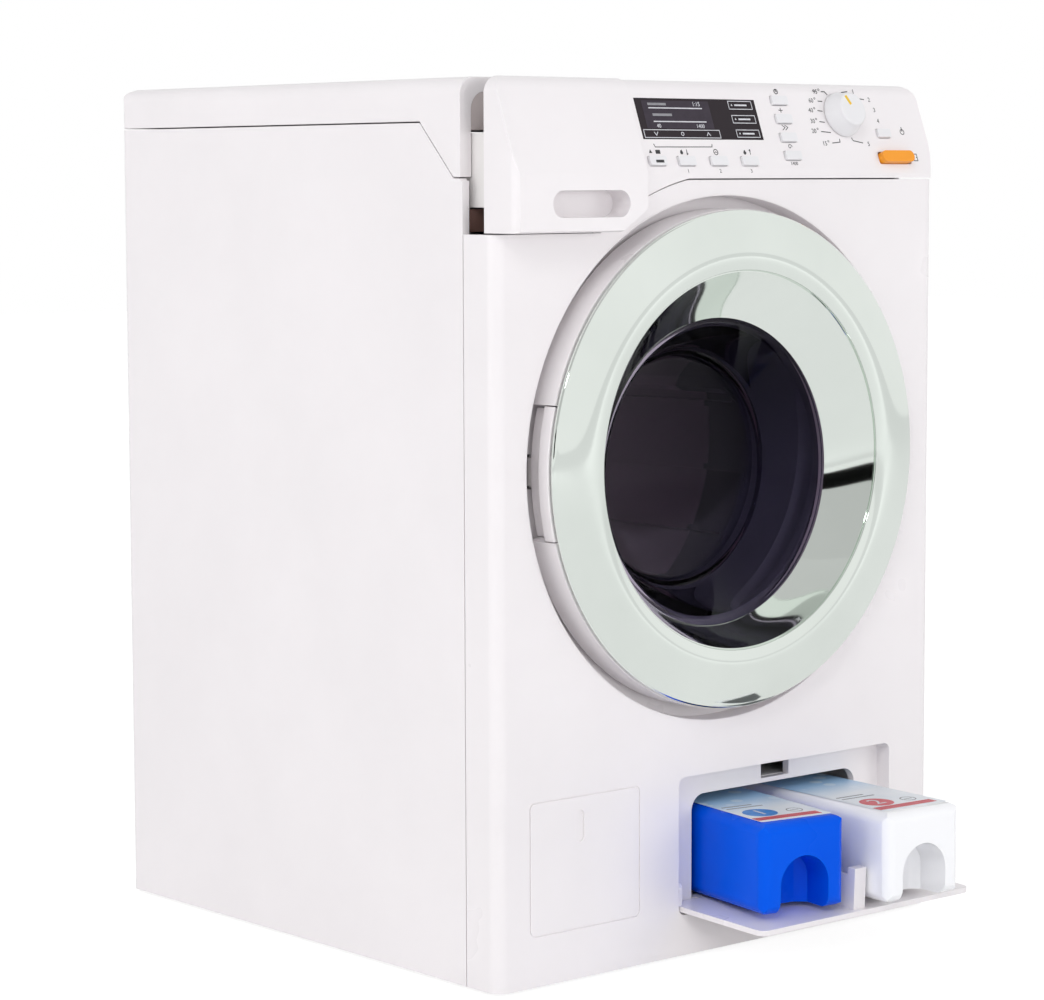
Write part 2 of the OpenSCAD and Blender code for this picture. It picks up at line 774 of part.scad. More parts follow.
module door_hinge_bracket() {
    color("whitesmoke") at_face() difference() {
        union() {
            translate([hinge_x - 2, hinge_d, door_z - knuckle_h])
                cube([4, moat_floor - hinge_d + 1.6, 2 * knuckle_h]);
            translate([hinge_x, hinge_d, door_z - knuckle_h])
                cylinder(h = 2 * knuckle_h, r = knuckle_r + 0.1);
            translate([hinge_x - 9, moat_floor, door_z - knuckle_h - 6]) cube([14, 1.6, 2 * knuckle_h + 12]);
        }
        translate([hinge_x, hinge_d, door_z - knuckle_h - 1])
            cylinder(h = 2 * knuckle_h + 2, r = hinge_pin_r + hinge_play);
    }
}

module door_seal() {
    color("gray") at_face() turned(door_x, door_z,
        [[port_r - 1.6, moat_d - 0.8], [port_r + 4, moat_d - 0.8], [port_r + 4, moat_d],
        [port_r - 0.1, moat_d], [port_r - 0.1, moat_floor + 1], [port_r + 7, moat_floor + 4],
        [port_r + 7, moat_floor + 7], [port_r, moat_floor + 10], [port_r, drum_front - 1.2],
        [port_r - 1.4, drum_front - 1.2], [port_r - 1.4, moat_floor + 9],
        [port_r + 5.6, moat_floor + 6], [port_r + 5.6, moat_floor + 5], [port_r - 1.6, moat_floor + 2]]);
}

// ---- Tub and drive ----

module tub() {
    rim = tub_r + flange_w;
    color("lightgray") at_face() difference() {
        union() {
            turned(door_x, door_z, [[tub_r, tub_front], [rim, tub_front], [rim, tub_front + flange_t],
                [tub_r + tub_wall, tub_front + flange_t + 2.8], [tub_r + tub_wall, tub_back - 4],
                [tub_r + tub_wall - 4, tub_back], [0, tub_back], [0, tub_back - 2],
                [tub_r - 3, tub_back - 2], [tub_r, tub_back - 5]]);
            bar(door_x, door_z, tub_back - boss_in, tub_back + boss_out, bush_r + 3.5);
            for (a = [0:45:315]) translate([door_x, 0, door_z]) rotate([0, a, 0])
                translate([bush_r + 2.5, tub_back - eps, -1]) cube([tub_r - bush_r - 8.5, 3, 2]);
            for (sx = [-1, 1]) bar(motor_x + sx * post_x, motor_z - post_drop, tub_back - 1, bracket_d, 3);
        }
        bar(door_x, door_z, tub_back - boss_in - 2, tub_back + boss_out + 2, bush_r);
        for (sx = [-1, 1]) bar(motor_x + sx * post_x, motor_z - post_drop, bracket_d - 8, bracket_d + 1, 1.1);
        translate([hinge_x - 9.2, tub_front - 1, door_z - knuckle_h - 6.2])
            cube([flange_w + 11, 2.6, 2 * knuckle_h + 12.4]);
        translate([door_x - rim - 3, tub_front - 1, door_z - hook_h / 2 - 1.5])
            cube([flange_w + 0.9, 8, hook_h + 3]);
    }
}

module bearing_bush() {
    color("darkgoldenrod") at_face() difference() {
        union() {
            bar(door_x, door_z, tub_back - boss_in, tub_back + boss_out, bush_r);
            bar(door_x, door_z, tub_back + boss_out, tub_back + boss_out + 1, bush_r + 1.5);
        }
        bar(door_x, door_z, tub_back - boss_in - 2, tub_back + boss_out + 2, shaft_r + shaft_play);
    }
}

module motor_bracket() {
    color("silver") at_face() difference() {
        front_prism(bracket_d, bracket_d + bracket_t) translate([motor_x, motor_z - 2])
            rounded_square(2 * post_x + 10, 2 * post_drop + 8, 4);
        bar(motor_x, motor_z, bracket_d - 1, bracket_d + 3, 3.2);
        for (sx = [-1, 1]) bar(motor_x + sx * post_x, motor_z - post_drop, bracket_d - 1, bracket_d + 3, 1.2);
    }
}

module motor() {
    can_d = bracket_d + bracket_t;
    color("silver") at_face() difference() {
        union() {
            bar(motor_x, motor_z, can_d, can_d + motor_l, motor_r);
            bar(motor_x, motor_z, can_d - 2, can_d, 3);
        }
        bar(motor_x, motor_z, bracket_d - 1, bracket_d + 8, motor_shaft_r + 0.05);
    }
}

// One involute flank point at radius r for base radius rb, as a polar angle in degrees
function inv_angle(r, rb) = let (t = sqrt(max(r * r / (rb * rb) - 1, 0))) t * 180 / PI - atan(t);

// Outline of a spur gear with z teeth, thinned by half the backlash a side
function gear_points(z, add, ded) = let (
        rp = gear_m * z / 2, rb = rp * cos(20), ra = rp + add, rf = rp - ded,
        half = 90 / z - (backlash / 4) / rp * 180 / PI + inv_angle(rp, rb),
        rs = max(rb, rf + 0.05), steps = 3)
    [for (i = [0:z - 1]) let (c = 360 * i / z) each concat(
        [let (a = c - half - 1.5) rf * [cos(a), sin(a)]],
        [for (k = [0:steps]) let (r = rs + (ra - rs) * k / steps, a = c - half + inv_angle(r, rb))
        r * [cos(a), sin(a)]],
        [for (k = [steps:-1:0]) let (r = rs + (ra - rs) * k / steps, a = c + half - inv_angle(r, rb))
        r * [cos(a), sin(a)]],
        [let (a = c + half + 1.5) rf * [cos(a), sin(a)]])];

module drum_gear() {
    color("ivory") at_face() difference() {
        front_prism(gear_d, gear_d + gear_w) translate([door_x, door_z]) rotate(-90)
            polygon(gear_points(gear_teeth, 1.3, 1.9));
        bar(door_x, door_z, gear_d - 1, gear_d + gear_w + 1, shaft_r);
        for (a = [30:60:330]) translate([door_x, 0, door_z]) rotate([0, a, 0])
            bar(17, 0, gear_d - 1, gear_d + gear_w + 1, 6);
    }
}

module motor_pinion() {
    color("darkgoldenrod") at_face() {
        front_prism(gear_d, gear_d + gear_w) translate([motor_x, motor_z]) rotate(90 + 180 / pinion_teeth)
            polygon(gear_points(pinion_teeth, 1.3, 1.7));
        bar(motor_x, motor_z, gear_d + gear_w, bracket_d + 7, motor_shaft_r);
    }
}

// ---- Drum ----

module drum_shell() {
    w = drum_wall;
    color("silver") at_face() difference() {
        union() {
            turned(door_x, door_z, [[drum_mouth_r, drum_front], [drum_r - 5, drum_front],
                [drum_r - 1.5, drum_front + 1.5], [drum_r, drum_front + 5], [drum_r, drum_back - 6],
                [drum_r - 5, drum_back], [0, drum_back], [0, drum_back - w], [30, drum_back - w],
                [34, drum_back - 4], [drum_r - 6, drum_back - 4 - w], [drum_r - w, drum_back - 7],
                [drum_r - w, drum_front + 5], [drum_r - w - 2.5, drum_front + 2 + w],
                [drum_mouth_r, drum_front + w]]);
            for (i = [0:drum_ribs - 1])
                translate([door_x, 0, door_z]) rotate([0, i * 360 / drum_ribs + 10, 0])
                translate([drum_r - w - rib_h, drum_front + 6, -0.9]) cube([rib_h + 0.4, drum_l - 14, 1.8]);
        }
        for (i = [0:drain_holes - 1]) translate([door_x, 0, door_z]) rotate([0, i * 360 / drain_holes, 0])
            bar(20, 0, drum_back - 6, drum_back + 1, drain_r);
    }
}

module drum_paddles() {
    r = drum_r - drum_wall - 0.2;
    color("gainsboro") at_face() for (i = [0:paddles - 1]) translate([door_x, 0, door_z])
        rotate([0, i * 360 / paddles - 20, 0])
        translate([0, drum_front + 12, 0]) rotate([-90, 0, 0]) linear_extrude(drum_l - 28) intersection() {
            polygon(concat([[r - paddle_h + 2, -2.5]],
                [[r - paddle_h, 0], [r - paddle_h + 2, 2.5], [r + 1, 7.5], [r + 1, -7.5]]));
            circle(r);
        }
}

module drum_shaft() {
    shoulder = tub_back - boss_in - 0.5;
    color("silver") at_face() {
        bar(door_x, door_z, drum_back, shoulder, shaft_r + 3);
        bar(door_x, door_z, shoulder - eps, shaft_end, shaft_r);
    }
}

// ---- Door ----

module door_ring() {
    p = ring_proud;
    q = rim_proud;
    crest = q + 0.5;
    color("lightcyan") at_face() turned(door_x, door_z,
        [[rim_r, -q], [rim_r + 3, -crest], [rim_r + 7, -crest - 0.15], [ring_r - 7, -crest + 0.25],
        [ring_r - 3, -p - 1.1], [ring_r - 0.8, -p - 0.1], [ring_r, -p + 0.9], [ring_r - 1, -p + 1.5],
        [ring_r - 3.6, -p + 0.4], [ring_r - 8, -crest + ring_t + 0.4], [rim_r + 7, -crest + ring_t],
        [rim_r + 0.6, -q + ring_t]]);
}

module funnel_solid(grow, cut) {
    hull() {
        translate([door_x, -rim_proud - cut, door_z]) rotate([-90, 0, 0])
            cylinder(h = 0.02, r = rim_r - 0.02 + grow);
        translate([door_x, glass_d + cut, glass_z]) rotate([-90, 0, 0])
            cylinder(h = 0.02, r = glass_r + grow);
    }
}

module door_funnel() {
    color("lightcyan") at_face() difference() {
        funnel_solid(0, 0);
        translate([0, -0.03, 0]) funnel_solid(-1.1, 0.1);
    }
}

module door_frame() {
    side = frame_r;
    lip = -ring_proud + 1.8;
    knuckle_at = knuckle_h + 0.6 + frame_knuckle_h / 2;
    color("white") at_face() difference() {
        union() {
            difference() {
                turned(door_x, door_z, [[side, lip], [side, frame_back - 1], [side - 1, frame_back],
                    [0, frame_back], [0, frame_back - 2.4], [side - frame_wall, frame_back - 2.4],
                    [side - frame_wall, 0], [side - 2.2, -1.5], [side - 2.2, lip]]);
                translate([hinge_x - 3.4, -ring_proud - 1, door_z - knuckle_h - 0.4])
                    cube([12, 20, 2 * knuckle_h + 0.8]);
                translate([door_x, 0, door_z]) handle_sector(handle_gap, -ring_proud - 1, 20,
                    side - frame_wall - 0.2, side + 16);
            }
            for (sz = [-1, 1]) translate([hinge_x, hinge_d, door_z + sz * knuckle_at])
                cylinder(h = frame_knuckle_h, r = knuckle_r, center = true);
            for (sz = [-1, 1]) translate([hinge_x - knuckle_r, hinge_d,
                door_z + sz * knuckle_at - frame_knuckle_h / 2])
                cube([2 * knuckle_r - 0.4, 4, frame_knuckle_h]);
        }
        bar(door_x, glass_z, -20, 20, glass_r + 0.7);
        bar(door_x, glass_z, -20, glass_d + glass_t + 0.05, glass_r + 2.4);
        translate([hinge_x, hinge_d, door_z - knuckle_h - 7])
            cylinder(h = 2 * knuckle_h + 14, r = hinge_pin_r);
    }
}

// A wedge about the door's axis at the handle's side
module handle_sector(grow, d0, d1, r0, r1) {
    x = -2 * ring_r * cos(handle_angle);
    z = 2 * ring_r * sin(handle_angle) + grow;
    front_prism(d0, d1) intersection() {
        difference() {
            circle(r1);
            circle(r0);
        }
        polygon([[0, 0], [x, z], [x, -z]]);
    }
}

module door_handle() {
    side = frame_r;
    color("whitesmoke") at_face() translate([door_x, 0, door_z]) difference() {
        handle_sector(0.05 - handle_gap, -ring_proud + 1.8, frame_back, side - frame_wall, side);
        turned(0, 0, [[side + 4, -1.2], [side - 1.2, 0.4], [side - 2.6, 2.2], [side - 3, 4],
            [side - 2.8, frame_back + 1], [side + 4, frame_back + 1]]);
    }
}

module door_hook() {
    color("silver") at_face() translate([hook_x, 0, door_z - hook_h / 2]) union() {
        translate([0, frame_back, 0]) cube([4, 1.2, hook_h]);
        translate([0.4, frame_back, 0]) cube([1.8, 8, hook_h]);
        translate([-1.2, frame_back + 6.6, 0]) cube([2, 1.4, hook_h]);
    }
}

module door_hinge_pin() {
    color("silver") at_face() translate([hinge_x, hinge_d, door_z - knuckle_h - 6])
        cylinder(h = 2 * knuckle_h + 12, r = hinge_pin_r);
}

module door_glass() {
    t = glass_t;
    color([0.2, 0.15, 0.22, 0.6]) at_face()
        turned(door_x, glass_z, concat([[glass_r + 2.2, glass_d + 0.05], [glass_r + 2.2, glass_d + t],
        [glass_r + 0.4, glass_d + t], [glass_r - 4.5, glass_d + t + 1.4], [bowl_r + 2, glass_d + bowl_d - 4]],
        arc([bowl_r - 2, glass_d + bowl_d - 4], 4, 0, 80, 4),
        [[0, glass_d + bowl_d + 2.2], [0, glass_d + bowl_d + 2.2 - t]],
        arc([bowl_r - 2, glass_d + bowl_d - 4], 4 - t, 80, 0, 4),
        [[glass_r - 4.5 - t, glass_d + 1.2], [glass_r - 4, glass_d + 0.05]]));
}

// ---- Fascia and keys ----

module fascia_outline() {
    difference() {
        translate([drawer_right + seam / 2, drawer_z - 6])
            square([half_w - drawer_right - seam / 2, body_h - drawer_z + 6]);
        panel_outline(seam);
        translate([-half_w, 0]) square([half_w, drawer_z + seam]);
    }
}

module end_rounding(x0, x1, r) {
    front_prism(-20, 80) rounded_rect(x0, 100, x1, body_h, r);
}

module key_hole(x, v, w, h) {
    on_slope(x, v, -6) linear_extrude(12) rounded_square(w + 2 * key_gap, h + 2 * key_gap, 0.7);
}

module control_fascia() {
    back = cover_front - seam;
    color("white") at_face() difference() {
        union() {
            intersection() {
                front_prism(-2, back) fascia_outline();
                side_prism(-half_w, half_w) polygon(brow_profile(0, 200, back));
                linear_extrude(body_h + 1) rounded_rect(-half_w, kink_d, half_w, 60, corner_r);
                end_rounding(-half_w, half_w, cover_r);
                difference() {
                    translate([-half_w, -5, 200]) cube([body_w, 40, 80]);
                    intersection() {
                        side_prism(drawer_right + seam / 2 + 1.8, half_w - wall)
                            polygon(brow_profile(fascia_wall, 200, back + 10));
                        front_prism(-3, 40) difference() {
                            translate([drawer_right + 1, 100]) square([body_w, body_h - 100]);
                            panel_outline(seam + 1.2);
                        }
                    }
                }
            }
            for (x = [-33.5, 22.5, 40, 80]) intersection() {
                on_slope(x, 14, -board_off) cylinder(h = board_off - 1, r = 1.8);
                side_prism(-half_w, half_w) polygon(brow_profile(1, 200, back));
            }
        }
        for (x = key_row_x) key_hole(x, key_row_v, key_w, key_h);
        for (v = key_col_v) key_hole(key_col_x, v, key_w, key_h);
        key_hole(key_single_x, key_single_v, key_w - 1, key_h);
        key_hole(door_key_x, door_key_v, door_key_w, door_key_h);
        on_slope(dial_x, dial_v, -6) cylinder(h = 12, r = dial_shaft_r + 0.1);
        on_slope(display_x, display_v, -display_t) linear_extrude(5)
            square([display_w + 0.1, display_h + 0.1], center = true);
        on_slope(display_x, display_v, -6) linear_extrude(8)
            square([display_w - 3, display_h - 3], center = true);
    }
}

module display_window() {
    color([0.18, 0.14, 0.17]) at_face() on_slope(display_x, display_v, -display_t)
        linear_extrude(display_t) square([display_w, display_h], center = true);
}

module circuit_board() {
    color("seagreen") at_face() difference() {
        on_slope(board_x, board_v, -board_off - board_t) linear_extrude(board_t)
            square([board_w, board_h], center = true);
        on_slope(dial_x, dial_v, -20) cylinder(h = 30, r = dial_shaft_r + 0.1);
    }
}

module tact_switch(x, v) {
    on_slope(x, v + 0.2, -board_off) linear_extrude(switch_h) square([1.8, 1.8], center = true);
}

module key_switches() {
    color("dimgray") at_face() {
        for (x = key_row_x) tact_switch(x, key_row_v);
        for (v = key_col_v) tact_switch(key_col_x, v);
        tact_switch(key_single_x, key_single_v);
        tact_switch(door_key_x, door_key_v);
        difference() {
            on_slope(dial_x, dial_v, -board_off) cylinder(h = 3.6, r = 4);
            on_slope(dial_x, dial_v, -20) cylinder(h = 30, r = dial_shaft_r + 0.08);
        }
    }
}

// A key: cap through the face, flange behind it and a stem towards its switch
module key(x, v, w = key_w, h = key_h, proud = key_proud) {
    tip = board_off - switch_h - key_stroke - 0.3;
    color("white") at_face() on_slope(x, v) union() {
        translate([0, 0, -fascia_wall - 0.2]) linear_extrude(fascia_wall + proud + 0.2)
            rounded_square(w, h, 0.5);
        translate([0, 0, -fascia_wall - 0.9]) linear_extrude(0.8) square([w + 0.9, h + 0.9], center = true);
        translate([0, 0, -tip]) cylinder(h = tip - fascia_wall, r = 1);
    }
}

module key_start() { key(key_row_x[0], key_row_v); }
module key_fill() { key(key_row_x[1], key_row_v); }
module key_wash() { key(key_row_x[2], key_row_v); }
module key_drain() { key(key_row_x[3], key_row_v); }
module key_timer() { key(key_col_x, key_col_v[0]); }
module key_extra() { key(key_col_x, key_col_v[1]); }
module key_short() { key(key_col_x, key_col_v[2]); }
module key_spin() { key(key_col_x, key_col_v[3]); }
module key_lock() { key(key_single_x, key_single_v, w = key_w - 1); }

module door_key() {
    tip = board_off - switch_h - key_stroke - 0.3;
    color("orange") at_face() on_slope(door_key_x, door_key_v) union() {
        translate([0, 0, -fascia_wall - 0.2]) linear_extrude(fascia_wall + 0.2 + door_key_proud)
            rounded_square(door_key_w, door_key_h, 1.7);
        translate([0, 0, -fascia_wall - 0.9]) linear_extrude(0.8)
            square([door_key_w + 0.9, door_key_h + 0.9], center = true);
        translate([0, 0, -tip]) cylinder(h = tip - fascia_wall, r = 1);
    }
}

module dial() {
    color("white") at_face() on_slope(dial_x, dial_v, 0.3) difference() {
        rotate_extrude() polygon(concat([[0, 0], [dial_r, 0], [dial_r, 1], [dial_cap_r + 0.3, dial_h - 1.2]],
            arc([dial_cap_r - 0.6, dial_h - 0.8], 0.8, 0, 90, 4), [[0, dial_h]]));
        translate([0, 0, -1]) cylinder(h = 4, r = dial_shaft_r);
        rotate(28) translate([0, dial_cap_r - 2.1, dial_h - 0.5]) linear_extrude(2)
            square([0.9, 3.2], center = true);
    }
}

module dial_pointer() {
    color("gold") at_face() on_slope(dial_x, dial_v, 0.3) rotate(28)
        translate([0, dial_cap_r - 2.1, dial_h - 0.5])
        linear_extrude(0.6) square([0.9, 3.2], center = true);
}

module dial_shaft() {
    color("gray") at_face() on_slope(dial_x, dial_v, -board_off - board_t)
        cylinder(h = board_off + board_t + 3.3, r = dial_shaft_r);
}

// ---- Drawer ----

module drawer_outline() {
    difference() {
        translate([-half_w - 1, drawer_z - 10]) square([half_w + 1 + drawer_right - seam / 2, body_h]);
        translate([door_x, door_z]) circle(arc_r + seam);
    }
}

module grip_outline(grow) {
    translate([grip_x, grip_z]) stadium(grip_w + 2 * grow, grip_h + 2 * grow);
}

module drawer_front() {
    bottom = drawer_z + seam;
    color("white") at_face() translate([0, -drawer_out, 0]) difference() {
        intersection() {
            front_prism(-2, front_wrap) drawer_outline();
            side_prism(-half_w, half_w) polygon(brow_profile(0, bottom - 5, front_wrap + 1));
            side_prism(-half_w - 1, half_w) rounded_rect(kink_d - 1, bottom, 60, body_h + 20, 2.5);
            linear_extrude(body_h + 1) rounded_rect(-half_w, kink_d - 1, half_w, 60, corner_r);
            front_prism(-20, 80) rounded_rect(-half_w, 100, half_w + 1, body_h, cover_r);
        }
        difference() {
            intersection() {
                side_prism(-half_w + 2, drawer_right - seam / 2 - 1.8)
                    polygon(brow_profile(fascia_wall, bottom + 2, 40));
                front_prism(-3, 40) difference() {
                    translate([-half_w, 100]) square([body_w, 200]);
                    translate([door_x, door_z]) circle(arc_r + seam + 1.8);
                }
            }
            front_prism(-3, grip_d + 1.8) grip_outline(1.6);
        }
        front_prism(-2, grip_d) grip_outline(0);
    }
}

module drawer_tray() {
    z1 = tray_z + tray_h;
    w = tray_wall;
    x0 = tray_x0;
    x1 = tray_x1;
    d1 = tray_d + tray_l;
    color("white") at_face() translate([0, -drawer_out, 0]) difference() {
        union() {
            translate([x0, tray_d, tray_z]) cube([x1 - x0, tray_l, tray_h]);
            translate([-half_w + 2, tray_d - 1.6, tray_z + 0.2])
                cube([half_w - 2 + drawer_right - seam / 2 - 1.8, 1.8, tray_h + 4]);
        }
        difference() {
            translate([x0 + w, tray_d + w, tray_z + w]) cube([x1 - x0 - 2 * w, tray_l - 2 * w, tray_h]);
            for (split = splits)
                translate([tray_mid + split[0], tray_d, tray_z]) cube([split_t, tray_l, tray_h - split[1]]);
        }
        translate([x0 - 4, d1 - 14, z1 - 9]) rotate([0, 90, 0]) cylinder(h = x1 - x0 + 8, r = 2);
    }
}

module drawer_insert() {
    x = tray_mid + splits[1][0] + split_t + insert_play;
    w = tray_x1 - tray_wall - insert_play - x;
    color("lightsteelblue") at_face() translate([0, -drawer_out, 0]) difference() {
        translate([x, tray_d + 16, tray_z + tray_wall]) cube([w, 26, tray_h - 5]);
        translate([x + 1.2, tray_d + 17.2, tray_z + tray_wall + 5]) cube([w - 2.4, 23.6, tray_h]);
        translate([x - 1, tray_d + 24, tray_z + tray_wall - 1]) cube([w + 2, 10, 3]);
    }
}

module drawer_runner() {
    x0 = -half_w + wall;
    x1 = tray_x1 + tray_gap + 1.6;
    front = tray_d + 5.6;
    length = tray_l + 8;
    floor_t = 2;
    color("gainsboro") at_face() difference() {
        translate([x0, front, tray_z - floor_t - 0.3]) cube([x1 - x0, length, 9]);
        translate([tray_x0 - tray_gap, front - 9, tray_z - 0.3])
            cube([tray_x1 - tray_x0 + 2 * tray_gap, length + 7, tray_h]);
        translate([x0 + 8, front + 7, tray_z - 5]) cube([x1 - x0 - 16, length - 20, 10]);
    }
}

// ---- Refill bay ----

module bay_box() {
    w = bay_wall;
    x0 = bay_x - bay_w / 2;
    d0 = recess_d + wall;
    color("whitesmoke") at_face() difference() {
        translate([x0 - w, d0, mouth_z - w]) cube([bay_w + 2 * w, bay_d - d0, bay_h + 2 * w]);
        translate([x0, d0 - 1, mouth_z]) cube([bay_w, bay_d - d0 - w + 1, bay_h]);
    }
}

module bay_flap() {
    half = recess_w / 2 - 0.5;
    ear_r = 2.1;
    color("white") at_face() translate([bay_x, flap_d, flap_z]) rotate([flap_sag, 0, 0]) union() {
        translate([0, 0, -0.5 - flap_t]) linear_extrude(flap_t) difference() {
            rounded_rect(-half, -flap_l, half, 20, 3);
            translate([-half - 1, 2]) square([2 * half + 2, 40]);
        }
        for (sx = [-1, 1]) {
            translate([sx * (half - 0.7) - 0.7, 0, 0]) side_prism(0, 1.4) union() {
                translate([-ear_r - 0.1, -1]) square([2 * ear_r, ear_h + 1 - ear_r]);
                translate([-0.1, ear_h - ear_r]) circle(ear_r);
            }
            translate([sx * (half - 0.1), 0, 0]) rotate([0, 90 * sx, 0]) cylinder(h = 1.9, r = flap_pin_r);
        }
        translate([keeper_x - keeper_w / 2, -keeper_y - 1.5, -1]) cube([keeper_w, 3, keeper_h + 0.4]);
        translate([keeper_x - keeper_w / 2, -keeper_y + 1, -1]) cube([keeper_w / 3, 5, keeper_h - 2]);
    }
}

// A bottle lying on its side: its finger arch opens to the front
module bottle(x, d, yaw) {
    r = bottle_r;
    translate([x, d, bottle_z]) rotate([0, 0, -yaw]) difference() {
        intersection() {
            front_prism(0, bottle_l) rounded_rect(0, 0, bottle_w, bottle_h, r);
            side_prism(0, bottle_w) rounded_rect(0, 0, bottle_l, bottle_h, r);
            linear_extrude(bottle_h) rounded_rect(0, 0, bottle_w, bottle_l, r);
        }
        intersection() {
            front_prism(-1, arch_d) translate([bottle_w / 2, 0]) union() {
                translate([-arch_w / 2, -1]) square([arch_w, arch_h - arch_w / 2 + 1]);
                translate([0, arch_h - arch_w / 2]) circle(arch_w / 2);
            }
            translate([bottle_w / 2, 1, -1]) cylinder(h = bottle_h, r = arch_d);
        }
    }
}

module bottle_cap(x, d, yaw) {
    translate([x, d, bottle_z]) rotate([0, 0, -yaw])
        bar(bottle_w / 2, bottle_h / 2, bottle_l, bottle_l + 5, 7);
}

module bottle_one() {
    color("dodgerblue") at_face() bottle(bottle_one_at[0], bottle_one_at[1], bottle_one_at[2]);
}
module bottle_two() { color("white") at_face() bottle(bottle_two_at[0], bottle_two_at[1], bottle_two_at[2]); }
module bottle_cap_one() {
    color("white") at_face() bottle_cap(bottle_one_at[0], bottle_one_at[1], bottle_one_at[2]);
}
module bottle_cap_two() {
    color("royalblue") at_face() bottle_cap(bottle_two_at[0], bottle_two_at[1], bottle_two_at[2]);
}

module speaker() {
    magnet_h = speaker_h - 9;
    color("dimgray") at_face() translate([0, speaker_d, base_z + base_t]) union() {
        cylinder(h = 3, r = speaker_r);
        translate([0, 0, 3]) cylinder(h = 6, r1 = speaker_r - 1.8, r2 = speaker_r - 8.8);
        translate([0, 0, 9]) cylinder(h = magnet_h, r = speaker_r / 2);
    }
}

base_plate();
foot_pads();
housing();
rear_cover();
battery_box();
battery_contacts();
battery_cover();
rear_screws();
base_screws();
top_cover();
front_panel();
door_hinge_bracket();
door_seal();
tub();
bearing_bush();
motor();
motor_bracket();
control_fascia();
display_window();
circuit_board();
key_switches();
drawer_runner();
bay_box();
speaker();
drum_shell();
drum_paddles();
drum_shaft();
drum_gear();
motor_pinion();
door_frame();
door_ring();
door_funnel();
door_glass();
door_handle();
door_hook();
door_hinge_pin();
drawer_front();
drawer_tray();
drawer_insert();
dial();
dial_pointer();
dial_shaft();
key_start();
key_fill();
key_wash();
key_drain();
key_timer();
key_extra();
key_short();
key_spin();
key_lock();
door_key();
bay_flap();
bottle_one();
bottle_two();
bottle_cap_one();
bottle_cap_two();
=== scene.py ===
import json
import math

import bpy
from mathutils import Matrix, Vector

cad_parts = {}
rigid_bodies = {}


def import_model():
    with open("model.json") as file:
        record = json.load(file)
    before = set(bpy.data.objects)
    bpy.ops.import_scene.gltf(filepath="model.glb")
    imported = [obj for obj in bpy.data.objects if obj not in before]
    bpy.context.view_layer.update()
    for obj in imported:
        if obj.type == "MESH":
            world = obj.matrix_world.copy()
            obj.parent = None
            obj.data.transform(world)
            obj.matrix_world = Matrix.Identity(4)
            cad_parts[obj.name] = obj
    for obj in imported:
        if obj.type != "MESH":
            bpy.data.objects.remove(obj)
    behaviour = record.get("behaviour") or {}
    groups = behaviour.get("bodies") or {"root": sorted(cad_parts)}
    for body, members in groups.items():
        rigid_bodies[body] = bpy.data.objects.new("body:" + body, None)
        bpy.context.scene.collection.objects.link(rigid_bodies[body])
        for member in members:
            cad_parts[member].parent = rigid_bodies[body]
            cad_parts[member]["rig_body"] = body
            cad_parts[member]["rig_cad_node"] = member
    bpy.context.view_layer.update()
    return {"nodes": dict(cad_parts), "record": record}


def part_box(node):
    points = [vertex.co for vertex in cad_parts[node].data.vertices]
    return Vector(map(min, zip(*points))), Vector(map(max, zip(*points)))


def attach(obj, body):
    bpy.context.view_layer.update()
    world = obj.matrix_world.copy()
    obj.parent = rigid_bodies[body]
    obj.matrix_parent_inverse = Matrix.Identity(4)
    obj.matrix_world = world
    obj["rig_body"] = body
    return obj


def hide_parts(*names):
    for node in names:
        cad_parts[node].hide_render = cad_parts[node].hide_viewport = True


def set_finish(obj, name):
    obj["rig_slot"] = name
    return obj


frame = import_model()
nodes = frame["nodes"]
record = frame["record"]
mm = 0.001
nodeBody = {node: body for body, members in record["behaviour"]["bodies"].items() for node in members}
nodeSlot = {part["node"]: part["material_slot"] for part in record["subparts"]}
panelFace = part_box("front_panel")[0].y  # the face of the front panel
print("frame loaded:", len(nodes), "nodes")


def plug(tree, socket, value):
    # links another socket, or sets a value; three numbers stand for an opaque colour
    if isinstance(value, bpy.types.NodeSocket):
        tree.links.new(value, socket)
    elif isinstance(value, tuple) and len(value) == 3:
        socket.default_value = (*value, 1)
    else:
        socket.default_value = value


def addNode(tree, kind, inputs=None, **settings):
    node = tree.nodes.new("ShaderNode" + kind)
    for key, value in settings.items():
        setattr(node, key, value)
    for key, value in (inputs or {}).items():
        plug(tree, node.inputs[key], value)
    return node


def mathNode(tree, operation, *values, clamp=False):
    return addNode(tree, "Math", dict(enumerate(values)), operation=operation, use_clamp=clamp).outputs[0]


def mixColour(tree, factor, first, second):
    return addNode(tree, "Mix", {0: factor, 6: first, 7: second}, data_type="RGBA").outputs[2]


def shadeRange(tree, value, low, high, outLow, outHigh):
    inputs = {"Value": value, "From Min": low, "From Max": high, "To Min": outLow, "To Max": outHigh}
    return addNode(tree, "MapRange", inputs).outputs[0]


def objectPlace(tree):
    return addNode(tree, "TexCoord").outputs["Object"]


def depthOf(tree, place):
    return addNode(tree, "SeparateXYZ", {0: place}).outputs["Y"]


def emptyMaterial(name):
    mat = bpy.data.materials.new(name)
    mat.use_nodes = True
    mat.node_tree.nodes.clear()
    return mat


def grey(shade):
    return (shade, shade, shade)


cameraSet = {
    "side": -0.6598, "ahead": 0.6760, "height": 0.2315,
    "pitch": 84.24, "roll": 0.18, "turn": -40.62,
    "lens": 109.85, "sensor": 36.0, "nearest": 0.01,
}


